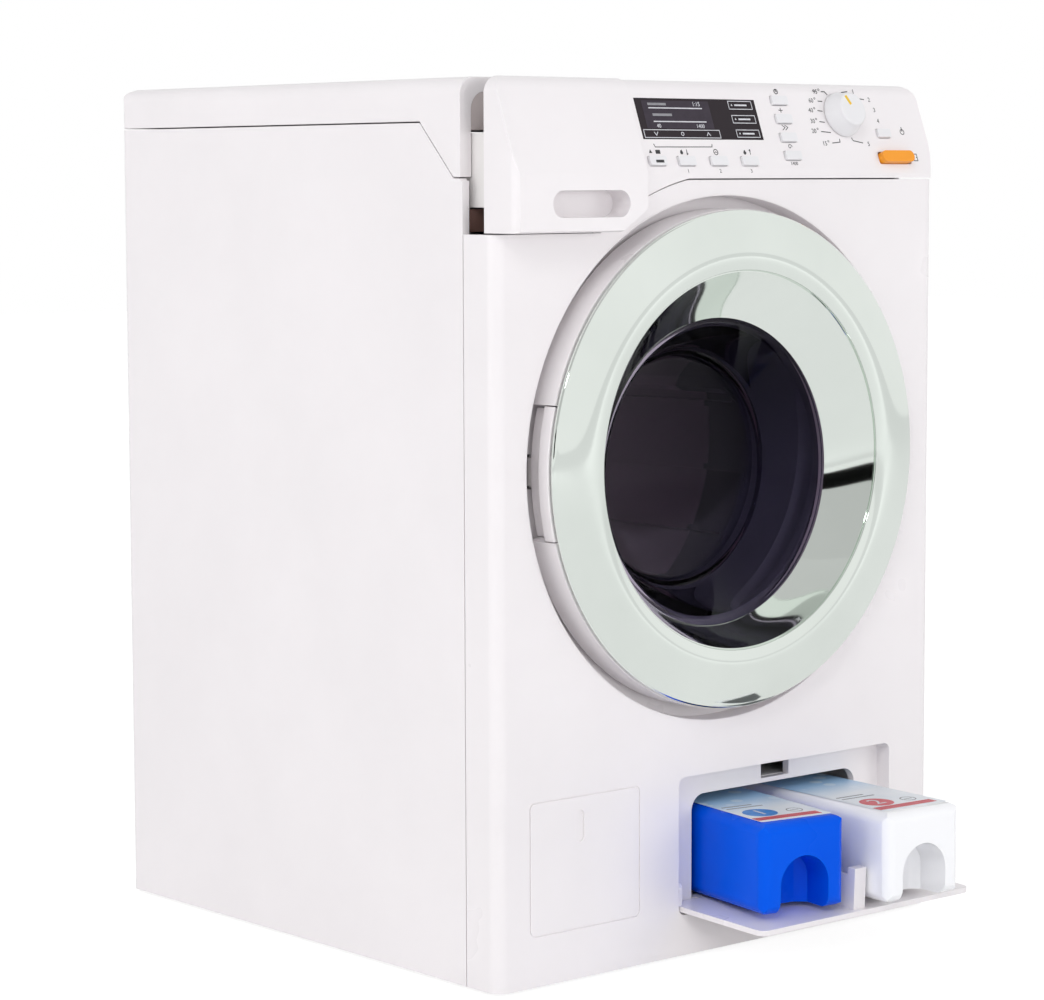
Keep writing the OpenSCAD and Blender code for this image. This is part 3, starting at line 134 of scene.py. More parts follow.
def addCamera():
    data = bpy.data.cameras.new("studioCamera")
    camera = bpy.data.objects.new("studioCamera", data)
    bpy.context.scene.collection.objects.link(camera)
    camera.location = (cameraSet["side"], panelFace - cameraSet["ahead"], cameraSet["height"])
    camera.rotation_euler = [math.radians(cameraSet[key]) for key in ("pitch", "roll", "turn")]
    data.sensor_width = cameraSet["sensor"]
    data.lens = cameraSet["lens"]
    data.clip_start = cameraSet["nearest"]
    bpy.context.scene.camera = camera


lampSet = {
    "keyLamp": {"place": (-1.3, -1.1, 1.3), "aimHeight": 0.12, "size": 0.7, "power": 8},
    "frontLamp": {"place": (-0.4, -1.9, 0.35), "aimHeight": 0.14, "size": 0.4, "power": 5.5},
    "fillLamp": {"place": (1.2, -1.5, 0.5), "aimHeight": 0.12, "size": 0.8, "power": 5},
    "sideLamp": {"place": (-1.8, 0.25, 0.5), "aimHeight": 0.10, "size": 1.2, "power": 8},
    "backLamp": {"place": (1.6, 1.3, 0.9), "aimHeight": 0.12, "size": 1.4, "power": 6},
}


def addLamp(name, lamp):
    data = bpy.data.lights.new(name, "AREA")
    data.shape = "RECTANGLE"
    data.size = lamp["size"]
    data.size_y = lamp["size"]
    data.energy = lamp["power"]
    thing = bpy.data.objects.new(name, data)
    bpy.context.scene.collection.objects.link(thing)
    thing.location = lamp["place"]
    aim = Vector((0, 0, lamp["aimHeight"])) - Vector(lamp["place"])
    thing.rotation_euler = aim.to_track_quat("-Z", "Y").to_euler()
    thing.visible_glossy = False  # the bright ring mirrors the room, not the lamps


def mirrorRay(tree, rays):
    # one for a ray that meets mirrors and glass alone on its way from the camera
    shiny = mathNode(tree, "MAXIMUM", rays["Is Glossy Ray"], rays["Is Transmission Ray"])
    noMatt = mathNode(tree, "LESS_THAN", rays["Diffuse Depth"], 0.5)  # a depth of zero
    return mathNode(tree, "MULTIPLY", shiny, noMatt)


# the room's light on matt surfaces, in mirrors and as the camera sees it
worldSet = {
    "matt": {"Color": (0.98, 0.99, 1.0), "Strength": 0.585},
    "mirrored": {"Color": (1, 1, 1), "Strength": 0.92},
    "seen": {"Color": (1, 1, 1), "Strength": 1.0},
}


def addWorld():
    world = bpy.data.worlds.new("studioWorld")
    bpy.context.scene.world = world
    world.use_nodes = True
    tree = world.node_tree
    tree.nodes.clear()
    rays = addNode(tree, "LightPath").outputs
    room = {key: addNode(tree, "Background", light).outputs[0] for key, light in worldSet.items()}
    unseen = addNode(tree, "MixShader", {0: mirrorRay(tree, rays), 1: room["matt"], 2: room["mirrored"]})
    whole = addNode(tree, "MixShader", {0: rays["Is Camera Ray"], 1: unseen.outputs[0], 2: room["seen"]})
    addNode(tree, "OutputWorld", {"Surface": whole.outputs[0]})


# paper is the shade that lights the object, and soak keeps the shadows;
# glow is for mirrors, and seen is added for the camera
floorSet = {"size": 8, "paper": 0.91, "soak": 0.30, "glow": 0.60, "seen": 0.27}


def addFloor():
    bpy.ops.object.select_all(action="DESELECT")
    bpy.ops.mesh.primitive_plane_add(size=floorSet["size"], location=(0, 0, 0))
    floor = bpy.context.active_object
    floor.name = "floor"
    mat = emptyMaterial("floorPaper")
    tree = mat.node_tree
    rays = addNode(tree, "LightPath").outputs
    level = mathNode(tree, "MULTIPLY_ADD", rays["Is Camera Ray"], floorSet["seen"], floorSet["glow"])
    glow = addNode(tree, "Emission", {"Strength": level})
    faint = addNode(tree, "BsdfDiffuse", {"Color": grey(floorSet["soak"])})
    plain = addNode(tree, "BsdfDiffuse", {"Color": grey(floorSet["paper"])})
    shown = addNode(tree, "AddShader", {0: faint.outputs[0], 1: glow.outputs[0]})
    direct = mathNode(tree, "MAXIMUM", rays["Is Camera Ray"], mirrorRay(tree, rays))
    mix = addNode(tree, "MixShader", {0: direct, 1: plain.outputs[0], 2: shown.outputs[0]})
    addNode(tree, "OutputMaterial", {"Surface": mix.outputs[0]})
    floor.data.materials.append(mat)


bpy.context.scene.view_settings.view_transform = "Standard"
addCamera()
for name, lamp in lampSet.items():
    addLamp(name, lamp)
addWorld()
addFloor()
print("camera, lamps and floor are set")

# cards that only reflections show: the room's dark edge, a grey wall and ceiling, and a small bright flash
cardSet = {
    "darkEdge": {"centre": (-1.36, -0.86, 0.302), "size": (1.0, 0.257),
                 "pitch": 90, "turn": -60, "shade": 0.003},
    "greyWall": {"centre": (-1.38, -0.87, 1.43), "size": (2.2, 2.0),
                 "pitch": 90, "turn": -60, "shade": 0.56},
    "greyCeiling": {"centre": (-0.5, -0.45, 2.42), "size": (3.0, 2.4),
                    "pitch": 0, "turn": -60, "shade": 0.60},
    "flashCard": {"centre": (-0.95, -1.05, 0.80), "size": (0.14, 0.10),
                  "pitch": 65, "turn": -45, "shade": 30.0},
}


def addCard(name, card):
    bpy.ops.object.select_all(action="DESELECT")
    bpy.ops.mesh.primitive_plane_add(size=1, location=card["centre"])
    thing = bpy.context.active_object
    thing.name = name
    thing.scale = (*card["size"], 1)
    thing.rotation_euler = (math.radians(card["pitch"]), 0, math.radians(card["turn"]))
    mat = emptyMaterial(name + "Paint")
    glow = addNode(mat.node_tree, "Emission", {"Color": grey(card["shade"])})
    addNode(mat.node_tree, "OutputMaterial", {"Surface": glow.outputs[0]})
    thing.data.materials.append(mat)
    thing.visible_camera = False
    thing.visible_diffuse = False
    thing.visible_transmission = False
    thing.visible_shadow = False


for name, card in cardSet.items():
    addCard(name, card)
print("cards for reflections are set")

# one shared group gives every surface its grain, a slow drift and its worn edges
usualLook = {"grain": 900.0, "drift": 14.0, "edgeRadius": 0.0006, "wear": 0.5, "rough": (0.28, 0.4),
             "bump": 0.05}
mouldInputs = {"Grain Scale": "grain", "Drift Scale": "drift", "Edge Radius": "edgeRadius"}
mouldSet = {"grainDetail": 3.0, "driftDetail": 4.0, "driftRoughness": 0.6, "edgeSamples": 4, "edgeGain": 5.0,
            "bumpDepth": 0.0002}


def makeMouldGroup():
    group = bpy.data.node_groups.new("mouldedSurface", "ShaderNodeTree")
    for title in mouldInputs:
        group.interface.new_socket(title, in_out="INPUT", socket_type="NodeSocketFloat")
    for title in ("Height", "Drift", "Edge"):
        group.interface.new_socket(title, in_out="OUTPUT", socket_type="NodeSocketFloat")
    source = group.nodes.new("NodeGroupInput").outputs
    out = group.nodes.new("NodeGroupOutput").inputs
    place = objectPlace(group)
    fine = {"Vector": place, "Scale": source["Grain Scale"], "Detail": mouldSet["grainDetail"]}
    slow = {"Vector": place, "Scale": source["Drift Scale"], "Detail": mouldSet["driftDetail"],
            "Roughness": mouldSet["driftRoughness"]}
    bevel = addNode(group, "Bevel", {"Radius": source["Edge Radius"]}, samples=mouldSet["edgeSamples"])
    plain = addNode(group, "NewGeometry")
    normals = {0: bevel.outputs["Normal"], 1: plain.outputs["Normal"]}
    dot = addNode(group, "VectorMath", normals, operation="DOT_PRODUCT")
    turned = mathNode(group, "SUBTRACT", 1.0, dot.outputs["Value"])
    plug(group, out["Height"], addNode(group, "TexNoise", fine).outputs["Fac"])
    plug(group, out["Drift"], addNode(group, "TexNoise", slow).outputs["Fac"])
    plug(group, out["Edge"], mathNode(group, "MULTIPLY", turned, mouldSet["edgeGain"], clamp=True))
    return group


mould = makeMouldGroup()
driftSet = {"colour": (0.35, 0.65), "rough": (0.3, 0.7)}  # the stretch of the drift that is used
tintSet = {"second": 0.965, "edge": 1.04, "edgeLift": 0.01}  # where a look names no second or edge colour
drumShadeSet = {"depth": 0.071, "blur": 0.0006}  # painted shade: the drum's wall is painted dark up to this depth behind the panel, in place of the porthole's shadow on it
drumShadeEdge = (nodes["drum_shell"].matrix_world.inverted() @ Vector((0, panelFace + drumShadeSet["depth"], 0))).y


def driftingMaterial(name, look):
    # colour and roughness wander with the slow drift, and the plain values are set as they stand
    mat = bpy.data.materials.new(name)
    mat.use_nodes = True
    tree = mat.node_tree
    shader = tree.nodes["Principled BSDF"].inputs
    own = {title: look[key] for title, key in mouldInputs.items()}
    surface = addNode(tree, "Group", own, node_tree=mould).outputs
    second = look.get("second", tuple(tintSet["second"] * part for part in look["colour"]))
    spread = shadeRange(tree, surface["Drift"], *driftSet["colour"], 0.0, 1.0)
    plug(tree, shader["Base Color"], mixColour(tree, spread, look["colour"], second))
    plug(tree, shader["Roughness"], shadeRange(tree, surface["Drift"], *driftSet["rough"], *look["rough"]))
    for key, value in look.get("plain", {}).items():
        shader[key].default_value = value
    return mat, shader, surface


def plastic(name, ownLook):
    look = {**usualLook, **ownLook}
    mat, shader, surface = driftingMaterial(name, look)
    tree = mat.node_tree
    base = shader["Base Color"].links[0].from_socket
    usualEdge = tuple(min(1.0, part * tintSet["edge"] + tintSet["edgeLift"]) for part in look["colour"])
    worn = mathNode(tree, "MULTIPLY", surface["Edge"], look["wear"])
    base = mixColour(tree, worn, base, look.get("edge", usualEdge))
    # painted shade: the front stretch of the drum's wall takes the dark band colour as the porthole's shadow
    if "band" in look:
        start, end = drumShadeEdge - drumShadeSet["blur"], drumShadeEdge + drumShadeSet["blur"]
        ahead = shadeRange(tree, depthOf(tree, objectPlace(tree)), start, end, 1.0, 0.0)
        base = mixColour(tree, ahead, base, look["band"])
    plug(tree, shader["Base Color"], base)
    grain = {"Strength": look["bump"], "Distance": mouldSet["bumpDepth"], "Height": surface["Height"]}
    plug(tree, shader["Normal"], addNode(tree, "Bump", grain).outputs["Normal"])
    return mat


looks = {
    "shell_white": {"colour": (0.885, 0.848, 0.862), "rough": (0.3, 0.4), "bump": 0.04,
                    "plain": {"Coat Weight": 0.12, "Coat Roughness": 0.25}},
    "panel_white": {"colour": (0.885, 0.848, 0.862), "rough": (0.26, 0.36), "bump": 0.03,
                    "plain": {"Coat Weight": 0.2, "Coat Roughness": 0.2}},
    "inner_white": {"colour": (0.8, 0.775, 0.765), "rough": (0.4, 0.55), "bump": 0.08},
    "trim_chrome": {"colour": (0.83, 0.88, 0.835), "second": (0.775, 0.825, 0.78), "rough": (0.035, 0.075),
                    "bump": 0.0, "wear": 0.0, "plain": {"Metallic": 1.0}},
    "seal_grey": {"colour": (0.13, 0.14, 0.18), "rough": (0.5, 0.65), "bump": 0.15, "grain": 1400.0},
    # the drum's band colour is painted shade on the front of its wall
    "drum_silver": {"colour": (0.36, 0.27, 0.33), "rough": (0.34, 0.46), "bump": 0.0,
                    "band": (0.03, 0.03, 0.05)},
    "tub_grey": {"colour": (0.36, 0.36, 0.365), "rough": (0.5, 0.65), "bump": 0.12},
    "display_dark": {"colour": (0.028, 0.020, 0.025), "second": (0.022, 0.016, 0.02), "rough": (0.12, 0.2),
                     "bump": 0.01, "wear": 0.2,
                     "plain": {"Coat Weight": 0.05, "Coat Roughness": 0.1, "Specular IOR Level": 0.15}},
    "board_green": {"colour": (0.01, 0.09, 0.03), "second": (0.014, 0.12, 0.045), "rough": (0.3, 0.45),
                    "drift": 300.0},
    "part_black": {"colour": (0.02, 0.02, 0.022), "rough": (0.4, 0.55), "bump": 0.1},
    "battery_grey": {"colour": (0.07, 0.07, 0.075), "rough": (0.45, 0.6), "bump": 0.12},
    "steel": {"colour": (0.62, 0.62, 0.63), "second": (0.52, 0.52, 0.54), "rough": (0.22, 0.38),
              "drift": 90.0, "plain": {"Metallic": 1.0}},
    "bronze": {"colour": (0.52, 0.3, 0.11), "second": (0.42, 0.23, 0.08), "rough": (0.35, 0.5),
               "drift": 120.0, "plain": {"Metallic": 1.0}},
    "gear_ivory": {"colour": (0.72, 0.66, 0.5), "rough": (0.4, 0.5)},
    "key_white": {"colour": (0.83, 0.82, 0.84), "rough": (0.3, 0.4), "edgeRadius": 0.0003},
    "key_orange": {"colour": (0.95, 0.36, 0.012), "second": (0.9, 0.32, 0.01), "rough": (0.3, 0.4),
                   "edgeRadius": 0.0003},
    "pointer_yellow": {"colour": (0.85, 0.55, 0.02), "rough": (0.3, 0.4)},
    "bottle_blue": {"colour": (0.0, 0.105, 0.83), "second": (0.0, 0.09, 0.76), "edge": (0.005, 0.2, 0.9),
                    "rough": (0.22, 0.32), "bump": 0.02, "plain": {"Specular IOR Level": 0.08}},
    "bottle_white": {"colour": (0.965, 0.965, 0.985), "second": (0.95, 0.95, 0.975), "rough": (0.16, 0.26),
                     "bump": 0.02, "plain": {"Coat Weight": 0.3, "Coat Roughness": 0.1}},
    "pad_grey": {"colour": (0.07, 0.07, 0.072), "rough": (0.6, 0.75), "bump": 0.2},
}
glassLook = {"colour": (0.40, 0.35, 0.44), "second": (0.37, 0.32, 0.41), "rough": (0.015, 0.035),
             "plain": {"Transmission Weight": 1.0, "IOR": 1.49, "Specular Tint": (0.06, 0.06, 0.09, 1)}}


def glassMaterial():
    return driftingMaterial("smoked_glass", {**usualLook, **glassLook})[0]


materials = {slot: plastic(slot, look) for slot, look in looks.items()}
materials["smoked_glass"] = glassMaterial()
for name, thing in nodes.items():
    thing.data.materials.clear()
    thing.data.materials.append(materials[nodeSlot[name]])
    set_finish(thing, nodeSlot[name])
print("materials made:", len(materials))


def nothingSelected():
    if bpy.context.object and bpy.context.object.mode != "OBJECT":
        bpy.ops.object.mode_set(mode="OBJECT")
    bpy.ops.object.select_all(action="DESELECT")


def onlyThis(thing):
    nothingSelected()
    thing.select_set(True)
    bpy.context.view_layer.objects.active = thing


def startEdit():
    bpy.ops.object.mode_set(mode="EDIT")
    bpy.ops.mesh.select_all(action="SELECT")


def endEdit():
    bpy.ops.object.mode_set(mode="OBJECT")


def emptyPiece(name):
    nothingSelected()
    bpy.ops.mesh.primitive_plane_add(size=1, location=(0, 0, 0))
    piece = bpy.context.active_object
    piece.data.clear_geometry()
    piece.name = name
    piece.data.name = name
    return piece


def applyPlace(thing):
    onlyThis(thing)
    bpy.ops.object.transform_apply(location=True, rotation=True, scale=True)


def applyModifier(piece, name, kind, **settings):
    onlyThis(piece)
    modifier = piece.modifiers.new(name, kind)
    for key, value in settings.items():
        setattr(modifier, key, value)
    bpy.ops.object.modifier_apply(modifier=name)


def joinAll(things, name):
    nothingSelected()
    for thing in things:
        thing.select_set(True)
    bpy.context.view_layer.objects.active = things[0]
    if len(things) > 1:
        bpy.ops.object.join()
    things[0].name = name
    things[0].data.name = name
    return things[0]


def giveMaterial(piece, material):
    piece.data.materials.clear()
    piece.data.materials.append(material)


def finishPiece(piece, body, slot=None, stands=(), angle=30):
    # a piece without a slot has a material of its own already
    onlyThis(piece)
    bpy.ops.object.shade_smooth_by_angle(angle=math.radians(angle))
    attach(piece, body)
    if slot:
        giveMaterial(piece, materials[slot])
        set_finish(piece, slot)
    if stands:
        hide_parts(*stands)


# moulded pieces are merged copies of CAD nodes: the name and how wide its edges are broken
softSet = {
    "housing": ("housingShell", 0.0004), "top_cover": ("topCoverShell", 0.0005),
    "front_panel": ("frontPanelShell", 0.0004), "control_fascia": ("fasciaShell", 0.0003),
    "drawer_front": ("drawerFrontShell", 0.0004), "drawer_tray": ("trayShell", 0.0003),
    "door_frame": ("doorFrameShell", 0.0004), "door_handle": ("handleShell", 0.0004),
    "bay_flap": ("flapShell", 0.0003), "bottle_one": ("bottleOneShell", 0.0005),
    "bottle_two": ("bottleTwoShell", 0.0005), "dial": ("dialKnob", 0.0002),
    "rear_cover": ("rearCoverShell", 0.0003), "battery_cover": ("batteryCoverShell", 0.0003),
    "bay_box": ("bayBoxShell", 0.0003),
}
edgeSet = {"keyWidth": 0.0002, "merge": 0.000002, "flat": 0.8, "steps": 2, "sharp": 32, "smooth": 35}


def softCopy(node, name, width):
    onlyThis(nodes[node])
    bpy.ops.object.duplicate(linked=False)
    piece = bpy.context.active_object
    piece.parent = None
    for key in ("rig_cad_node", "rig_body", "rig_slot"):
        if key in piece:
            del piece[key]
    piece.name = name
    piece.data.name = name
    startEdit()
    bpy.ops.mesh.remove_doubles(threshold=edgeSet["merge"])
    bpy.ops.mesh.customdata_custom_splitnormals_clear()
    bpy.ops.mesh.dissolve_limited(angle_limit=math.radians(edgeSet["flat"]))
    endEdit()
    applyModifier(piece, "brokenEdges", "BEVEL", width=width, segments=edgeSet["steps"], limit_method="ANGLE",
                  angle_limit=math.radians(edgeSet["sharp"]), use_clamp_overlap=True, harden_normals=False)
    finishPiece(piece, nodeBody[node], nodeSlot[node], (node,), edgeSet["smooth"])
    applyModifier(piece, "evenShading", "WEIGHTED_NORMAL", keep_sharp=True)  # flat faces stay flat


keyNodes = [node for node in nodes if node.startswith("key_") and node != "key_switches"] + ["door_key"]
for node in keyNodes:
    softSet[node] = (node.replace("_", "") + "Cap", edgeSet["keyWidth"])
for node, (name, width) in softSet.items():
    softCopy(node, name, width)
print("moulded pieces softened:", len(softSet))

# door ring, funnel and glass are smooth turned forms, in millimetres: each point is a radius and a depth
doorCentre = Vector((-0.0005, 0, 0.1485))
turnSet = {"segments": 256, "merge": 0.000004, "smooth": 40, "glassSmooth": 28}


def turnedPiece(profile, centre, name):
    # a closed profile is spun about the fore-and-aft axis through the centre
    piece = emptyPiece(name)
    points = [(centre.x + radius * mm, panelFace + depth * mm, centre.z) for radius, depth in profile]
    closed = [(i, (i + 1) % len(points)) for i in range(len(points))]
    piece.data.from_pydata(points, closed, [])
    piece.data.update()
    startEdit()
    bpy.ops.mesh.spin(steps=turnSet["segments"], angle=math.tau, center=(centre.x, 0, centre.z),
                      axis=(0, 1, 0), use_normal_flip=False)
    bpy.ops.mesh.select_all(action="SELECT")
    bpy.ops.mesh.remove_doubles(threshold=turnSet["merge"])
    bpy.ops.mesh.normals_make_consistent(inside=False)
    endEdit()
    return piece


def arcPoints(centre, radius, start, end, count):
    steps = [math.radians(start + (end - start) * i / (count - 1)) for i in range(count)]
    return [(centre[0] + radius * math.cos(angle), centre[1] + radius * math.sin(angle)) for angle in steps]


def bezier(points, count):
    # a smooth stretch through four control points
    p = [Vector(point) for point in points]
    out = []
    for i in range(count):
        t = i / (count - 1)
        q = p[0] * (1 - t) ** 3 + p[1] * 3 * t * (1 - t) ** 2 + p[2] * 3 * t * t * (1 - t) + p[3] * t ** 3
        out.append((q.x, q.y))
    return out


ringSet = {
    "inner": 55.9, "innerFront": -8.1, "outer": 73.8, "outerFront": -6.2, "wall": 0.9,
    "innerStart": (0.6, -0.25), "innerPull": (6.0, -9.4),
    "outerPull": (-8.0, -8.9), "outerEnd": (-1.0, -0.35),
    "edgeRadius": 1.0, "edgeCentre": 0.65, "edgeTurn": (-90, 60, 8),
    "backStart": -1.4, "backOuterPull": (-9.0, -7.4), "backInnerPull": (6.0, -8.2), "backEnd": 1.4,
    "lipStart": 0.55, "lipCentre": (0.6, 0.1), "lipRadius": 0.35, "lipTurn": (180, 270, 5),
    "frontSteps": 24, "backSteps": 16,
}


def makeRing():
    ring = ringSet
    inner, near, outer, far = (ring[key] for key in ("inner", "innerFront", "outer", "outerFront"))
    front = bezier([(inner + ring["innerStart"][0], near + ring["innerStart"][1]),
                    (inner + ring["innerPull"][0], ring["innerPull"][1]),
                    (outer + ring["outerPull"][0], ring["outerPull"][1]),
                    (outer + ring["outerEnd"][0], far + ring["outerEnd"][1])], ring["frontSteps"])
    edgeCentre = (outer - ring["edgeRadius"], far + ring["edgeCentre"])
    edge = arcPoints(edgeCentre, ring["edgeRadius"], *ring["edgeTurn"])[1:]
    back = bezier([(outer + ring["backStart"], far + ring["wall"]),
                   (outer + ring["backOuterPull"][0], ring["backOuterPull"][1]),
                   (inner + ring["backInnerPull"][0], ring["backInnerPull"][1]),
                   (inner + ring["backEnd"], near + ring["wall"])], ring["backSteps"])
    lipCentre = (inner + ring["lipCentre"][0], near + ring["lipCentre"][1])
    lip = [(inner + ring["lipStart"], near + ring["wall"])]
    lip += arcPoints(lipCentre, ring["lipRadius"], *ring["lipTurn"])[:-1]
    piece = turnedPiece(front + edge + back + lip, doorCentre, "doorRing")
    finishPiece(piece, "door", "trim_chrome", ("door_ring",), turnSet["smooth"])


funnelSet = {"groove": 0.45, "gap": 0.25, "bulge": 0.35, "wall": (0.75, 0.2), "steps": 12}


def circle(radius, depth, drop):
    points = []
    for i in range(turnSet["segments"]):
        angle = math.tau * i / turnSet["segments"]
        across, up = radius * math.cos(angle), radius * math.sin(angle) - drop
        points.append((doorCentre.x + across * mm, panelFace + depth * mm, doorCentre.z + up * mm))
    return points


def makeFunnel():
    # circles lead from the chrome ring down to the lower glass and back along the outside
    mouth, near = ringSet["inner"] - funnelSet["gap"], ringSet["innerFront"] + funnelSet["groove"]
    circles = []
    for k in range(funnelSet["steps"]):
        t = k / (funnelSet["steps"] - 1)
        bulge = math.sin(t * math.pi) * funnelSet["bulge"]  # the wall is slightly hollow
        radius = mouth + (glassSet["radius"] - mouth) * t + bulge
        circles.append((radius, near + (glassSet["depth"] - near) * t, glassSet["drop"] * t))
    thick, behind = funnelSet["wall"]
    circles += [(radius + thick, depth + behind, drop) for radius, depth, drop in reversed(circles)]
    points = [point for place in circles for point in circle(*place)]
    faces = []
    for k in range(len(circles)):
        this, following = k * turnSet["segments"], (k + 1) % len(circles) * turnSet["segments"]
        for i in range(turnSet["segments"]):
            j = (i + 1) % turnSet["segments"]
            faces.append((this + i, this + j, following + j, following + i))
    piece = emptyPiece("doorFunnel")
    piece.data.from_pydata(points, [], faces)
    piece.data.update()
    startEdit()
    bpy.ops.mesh.normals_make_consistent(inside=False)
    endEdit()
    finishPiece(piece, "door", "trim_chrome", ("door_funnel",), turnSet["smooth"])


glassSet = {
    "radius": 45.9, "flange": 2.2, "drop": 4.1, "depth": 4.0, "wall": 1.8,
    "bowlRadius": 34.0, "bowlDepth": 22.0,
    "bend": 4.0, "bendInset": 2.0, "bendTurn": 80, "bendSteps": 12, "gap": 0.05,
    "flangeEdge": 0.4, "cone": (-2.0, 2.9), "shoulder": ((3.9, -5.9), (3.2, -5.0), (2.1, -5.4), (2.0, -4.0)),
    "hollow": ((2.0, -4.0), (2.0, -5.6), (3.1, -5.9), (3.7, -6.5)), "shoulderSteps": 7,
    "mouthBack": (-1.8, 0.5), "mouthFront": -1.2,
    "dome": 2.2, "domeFall": 2.1, "domeSteps": (0.84, 0.7, 0.56, 0.42, 0.28, 0.14),
}


def makeGlass():
    glass = glassSet
    rim, front, wall, bowl = (glass[key] for key in ("radius", "depth", "wall", "bowlRadius"))
    deep = front + glass["bowlDepth"]
    flange = rim + glass["flange"]
    bend = (bowl - glass["bendInset"], deep - glass["bend"])  # centre of the bend at the bowl's floor
    shoulder = [(bowl + across, deep + along) for across, along in glass["shoulder"]]
    hollow = [(bowl - wall + across, deep + along) for across, along in glass["hollow"]]
    dome = [(bowl * t, deep + glass["dome"] - glass["domeFall"] * t * t) for t in (*glass["domeSteps"], 0.0)]
    outside = [(flange, front + glass["gap"]), (flange, front + wall),
               (rim + glass["flangeEdge"], front + wall),
               (rim + glass["cone"][0], front + glass["cone"][1])]  # the cone is clear of the seal's lip
    outside += bezier(shoulder, glass["shoulderSteps"])
    outside += arcPoints(bend, glass["bend"], 0, glass["bendTurn"], glass["bendSteps"])[1:] + dome
    inside = [(radius, depth - wall) for radius, depth in reversed(dome)]
    inside += arcPoints(bend, glass["bend"] - wall, glass["bendTurn"], 0, glass["bendSteps"])[:-1]
    inside += bezier(hollow, glass["shoulderSteps"])
    inside += [(rim + glass["mouthBack"][0], front + glass["mouthBack"][1]),
               (rim + glass["mouthFront"], front + glass["gap"])]
    piece = turnedPiece(outside + inside, doorCentre - Vector((0, 0, glass["drop"] * mm)), "doorGlass")
    finishPiece(piece, "door", "smoked_glass", ("door_glass",), turnSet["glassSmooth"])
    piece.visible_shadow = False  # the lamps shine through into the drum


makeRing()
makeFunnel()
makeGlass()
print("door ring, funnel and glass are made")

# painted shade: two plates behind the drawer's opening stand in for its shaded inside, a grey one high and a
# dark brown one low
shadeSheetSet = {
    "left": -0.0862, "right": -0.044, "depth": 0.0156, "thick": 0.0008, "edge": 0.00025, "rough": (0.5, 0.65),
    "upper": {"low": 0.2451, "high": 0.2572, "colour": (0.56, 0.50, 0.50), "second": (0.50, 0.44, 0.43)},
    "lower": {"low": 0.2166, "high": 0.2230, "colour": (0.20, 0.105, 0.085), "second": (0.16, 0.085, 0.07)},
}


def makeShadeSheet(which):
    plate = shadeSheetSet[which]
    left, right, low, high = shadeSheetSet["left"], shadeSheetSet["right"], plate["low"], plate["high"]
    nothingSelected()
    middle = ((left + right) / 2, panelFace + shadeSheetSet["depth"], (low + high) / 2)
    bpy.ops.mesh.primitive_cube_add(size=1, location=middle)
    piece = bpy.context.active_object
    piece.name = which + "Lining"
    piece.scale = (right - left, shadeSheetSet["thick"], high - low)
    applyPlace(piece)
    startEdit()
    bpy.ops.mesh.bevel(offset=shadeSheetSet["edge"], segments=2, affect="EDGES")
    endEdit()
    # the plate's grey or brown colour is painted shade
    look = {"colour": plate["colour"], "second": plate["second"], "rough": shadeSheetSet["rough"]}
    giveMaterial(piece, plastic(which + "LiningPlastic", look))
    finishPiece(piece, "root")


makeShadeSheet("upper")
makeShadeSheet("lower")
print("drawer opening is lined")

inkLook = {"bump": 0.02, "drift": 400.0, "wear": 0.0}


def inkMaterial(name, colour, second, rough, shine=0.5):
    look = {"colour": colour, "second": second, "edge": colour, "rough": rough}
    return plastic(name, {**inkLook, **look, "plain": {"Specular IOR Level": shine}})


inks = {
    "black": inkMaterial("printBlack", (0.02, 0.02, 0.022), (0.03, 0.03, 0.033), (0.4, 0.5)),
    "white": inkMaterial("printWhite", (0.72, 0.72, 0.76), (0.62, 0.62, 0.67), (0.4, 0.5)),
    "grey": inkMaterial("printGrey", (0.22, 0.22, 0.24), (0.3, 0.3, 0.32), (0.4, 0.5)),
    "screen": inkMaterial("printScreen", (0.05, 0.04, 0.054), (0.042, 0.034, 0.046), (0.16, 0.24), 0.15),
}


# printed marks are drawn flat in millimetres, x across and v up the slope, and then laid on the fascia's face
def flatPlane(x, v, wide, high, turn=0.0):
    nothingSelected()
    bpy.ops.mesh.primitive_plane_add(size=1, location=(x * mm, v * mm, 0))
    thing = bpy.context.active_object
    thing.scale = (wide * mm, high * mm, 1)
    thing.rotation_euler.z = turn
    applyPlace(thing)
    return thing


def bar(x0, v0, x1, v1, width):
    length = math.hypot(x1 - x0, v1 - v0) + width * 0.5  # a little over, so that bars close their corners
    return flatPlane((x0 + x1) / 2, (v0 + v1) / 2, length, width, math.atan2(v1 - v0, x1 - x0))


def path(points, width):
    return [bar(*start, *end, width) for start, end in zip(points, points[1:])]


def frameOf(x0, v0, x1, v1, width):
    return path([(x0, v0), (x1, v0), (x1, v1), (x0, v1), (x0, v0)], width)


def disc(x, v, radius, sides=32, turn=0):
    nothingSelected()
    place = (x * mm, v * mm, 0)
    bpy.ops.mesh.primitive_circle_add(vertices=sides, radius=radius * mm, fill_type="NGON", location=place)
    thing = bpy.context.active_object
    thing.rotation_euler.z = math.radians(turn)
    applyPlace(thing)
    return thing


def arrowHead(x, v, radius, turn=0):
    return disc(x, v, radius, 3, turn)


def hoop(x, v, radius, width, sides=24):
    thing = disc(x, v, radius, sides)
    startEdit()
    bpy.ops.mesh.inset(thickness=width * mm)
    bpy.ops.mesh.delete(type="FACE")
    endEdit()
    return thing


def waterDrop(x, v, radius):
    return [disc(x, v, radius), arrowHead(x, v + radius * 0.95, radius * 0.92, 90)]


textSet = {"scale": 1.4, "curveSteps": 3}  # a figure is about 1 / 1.4 of the font's size


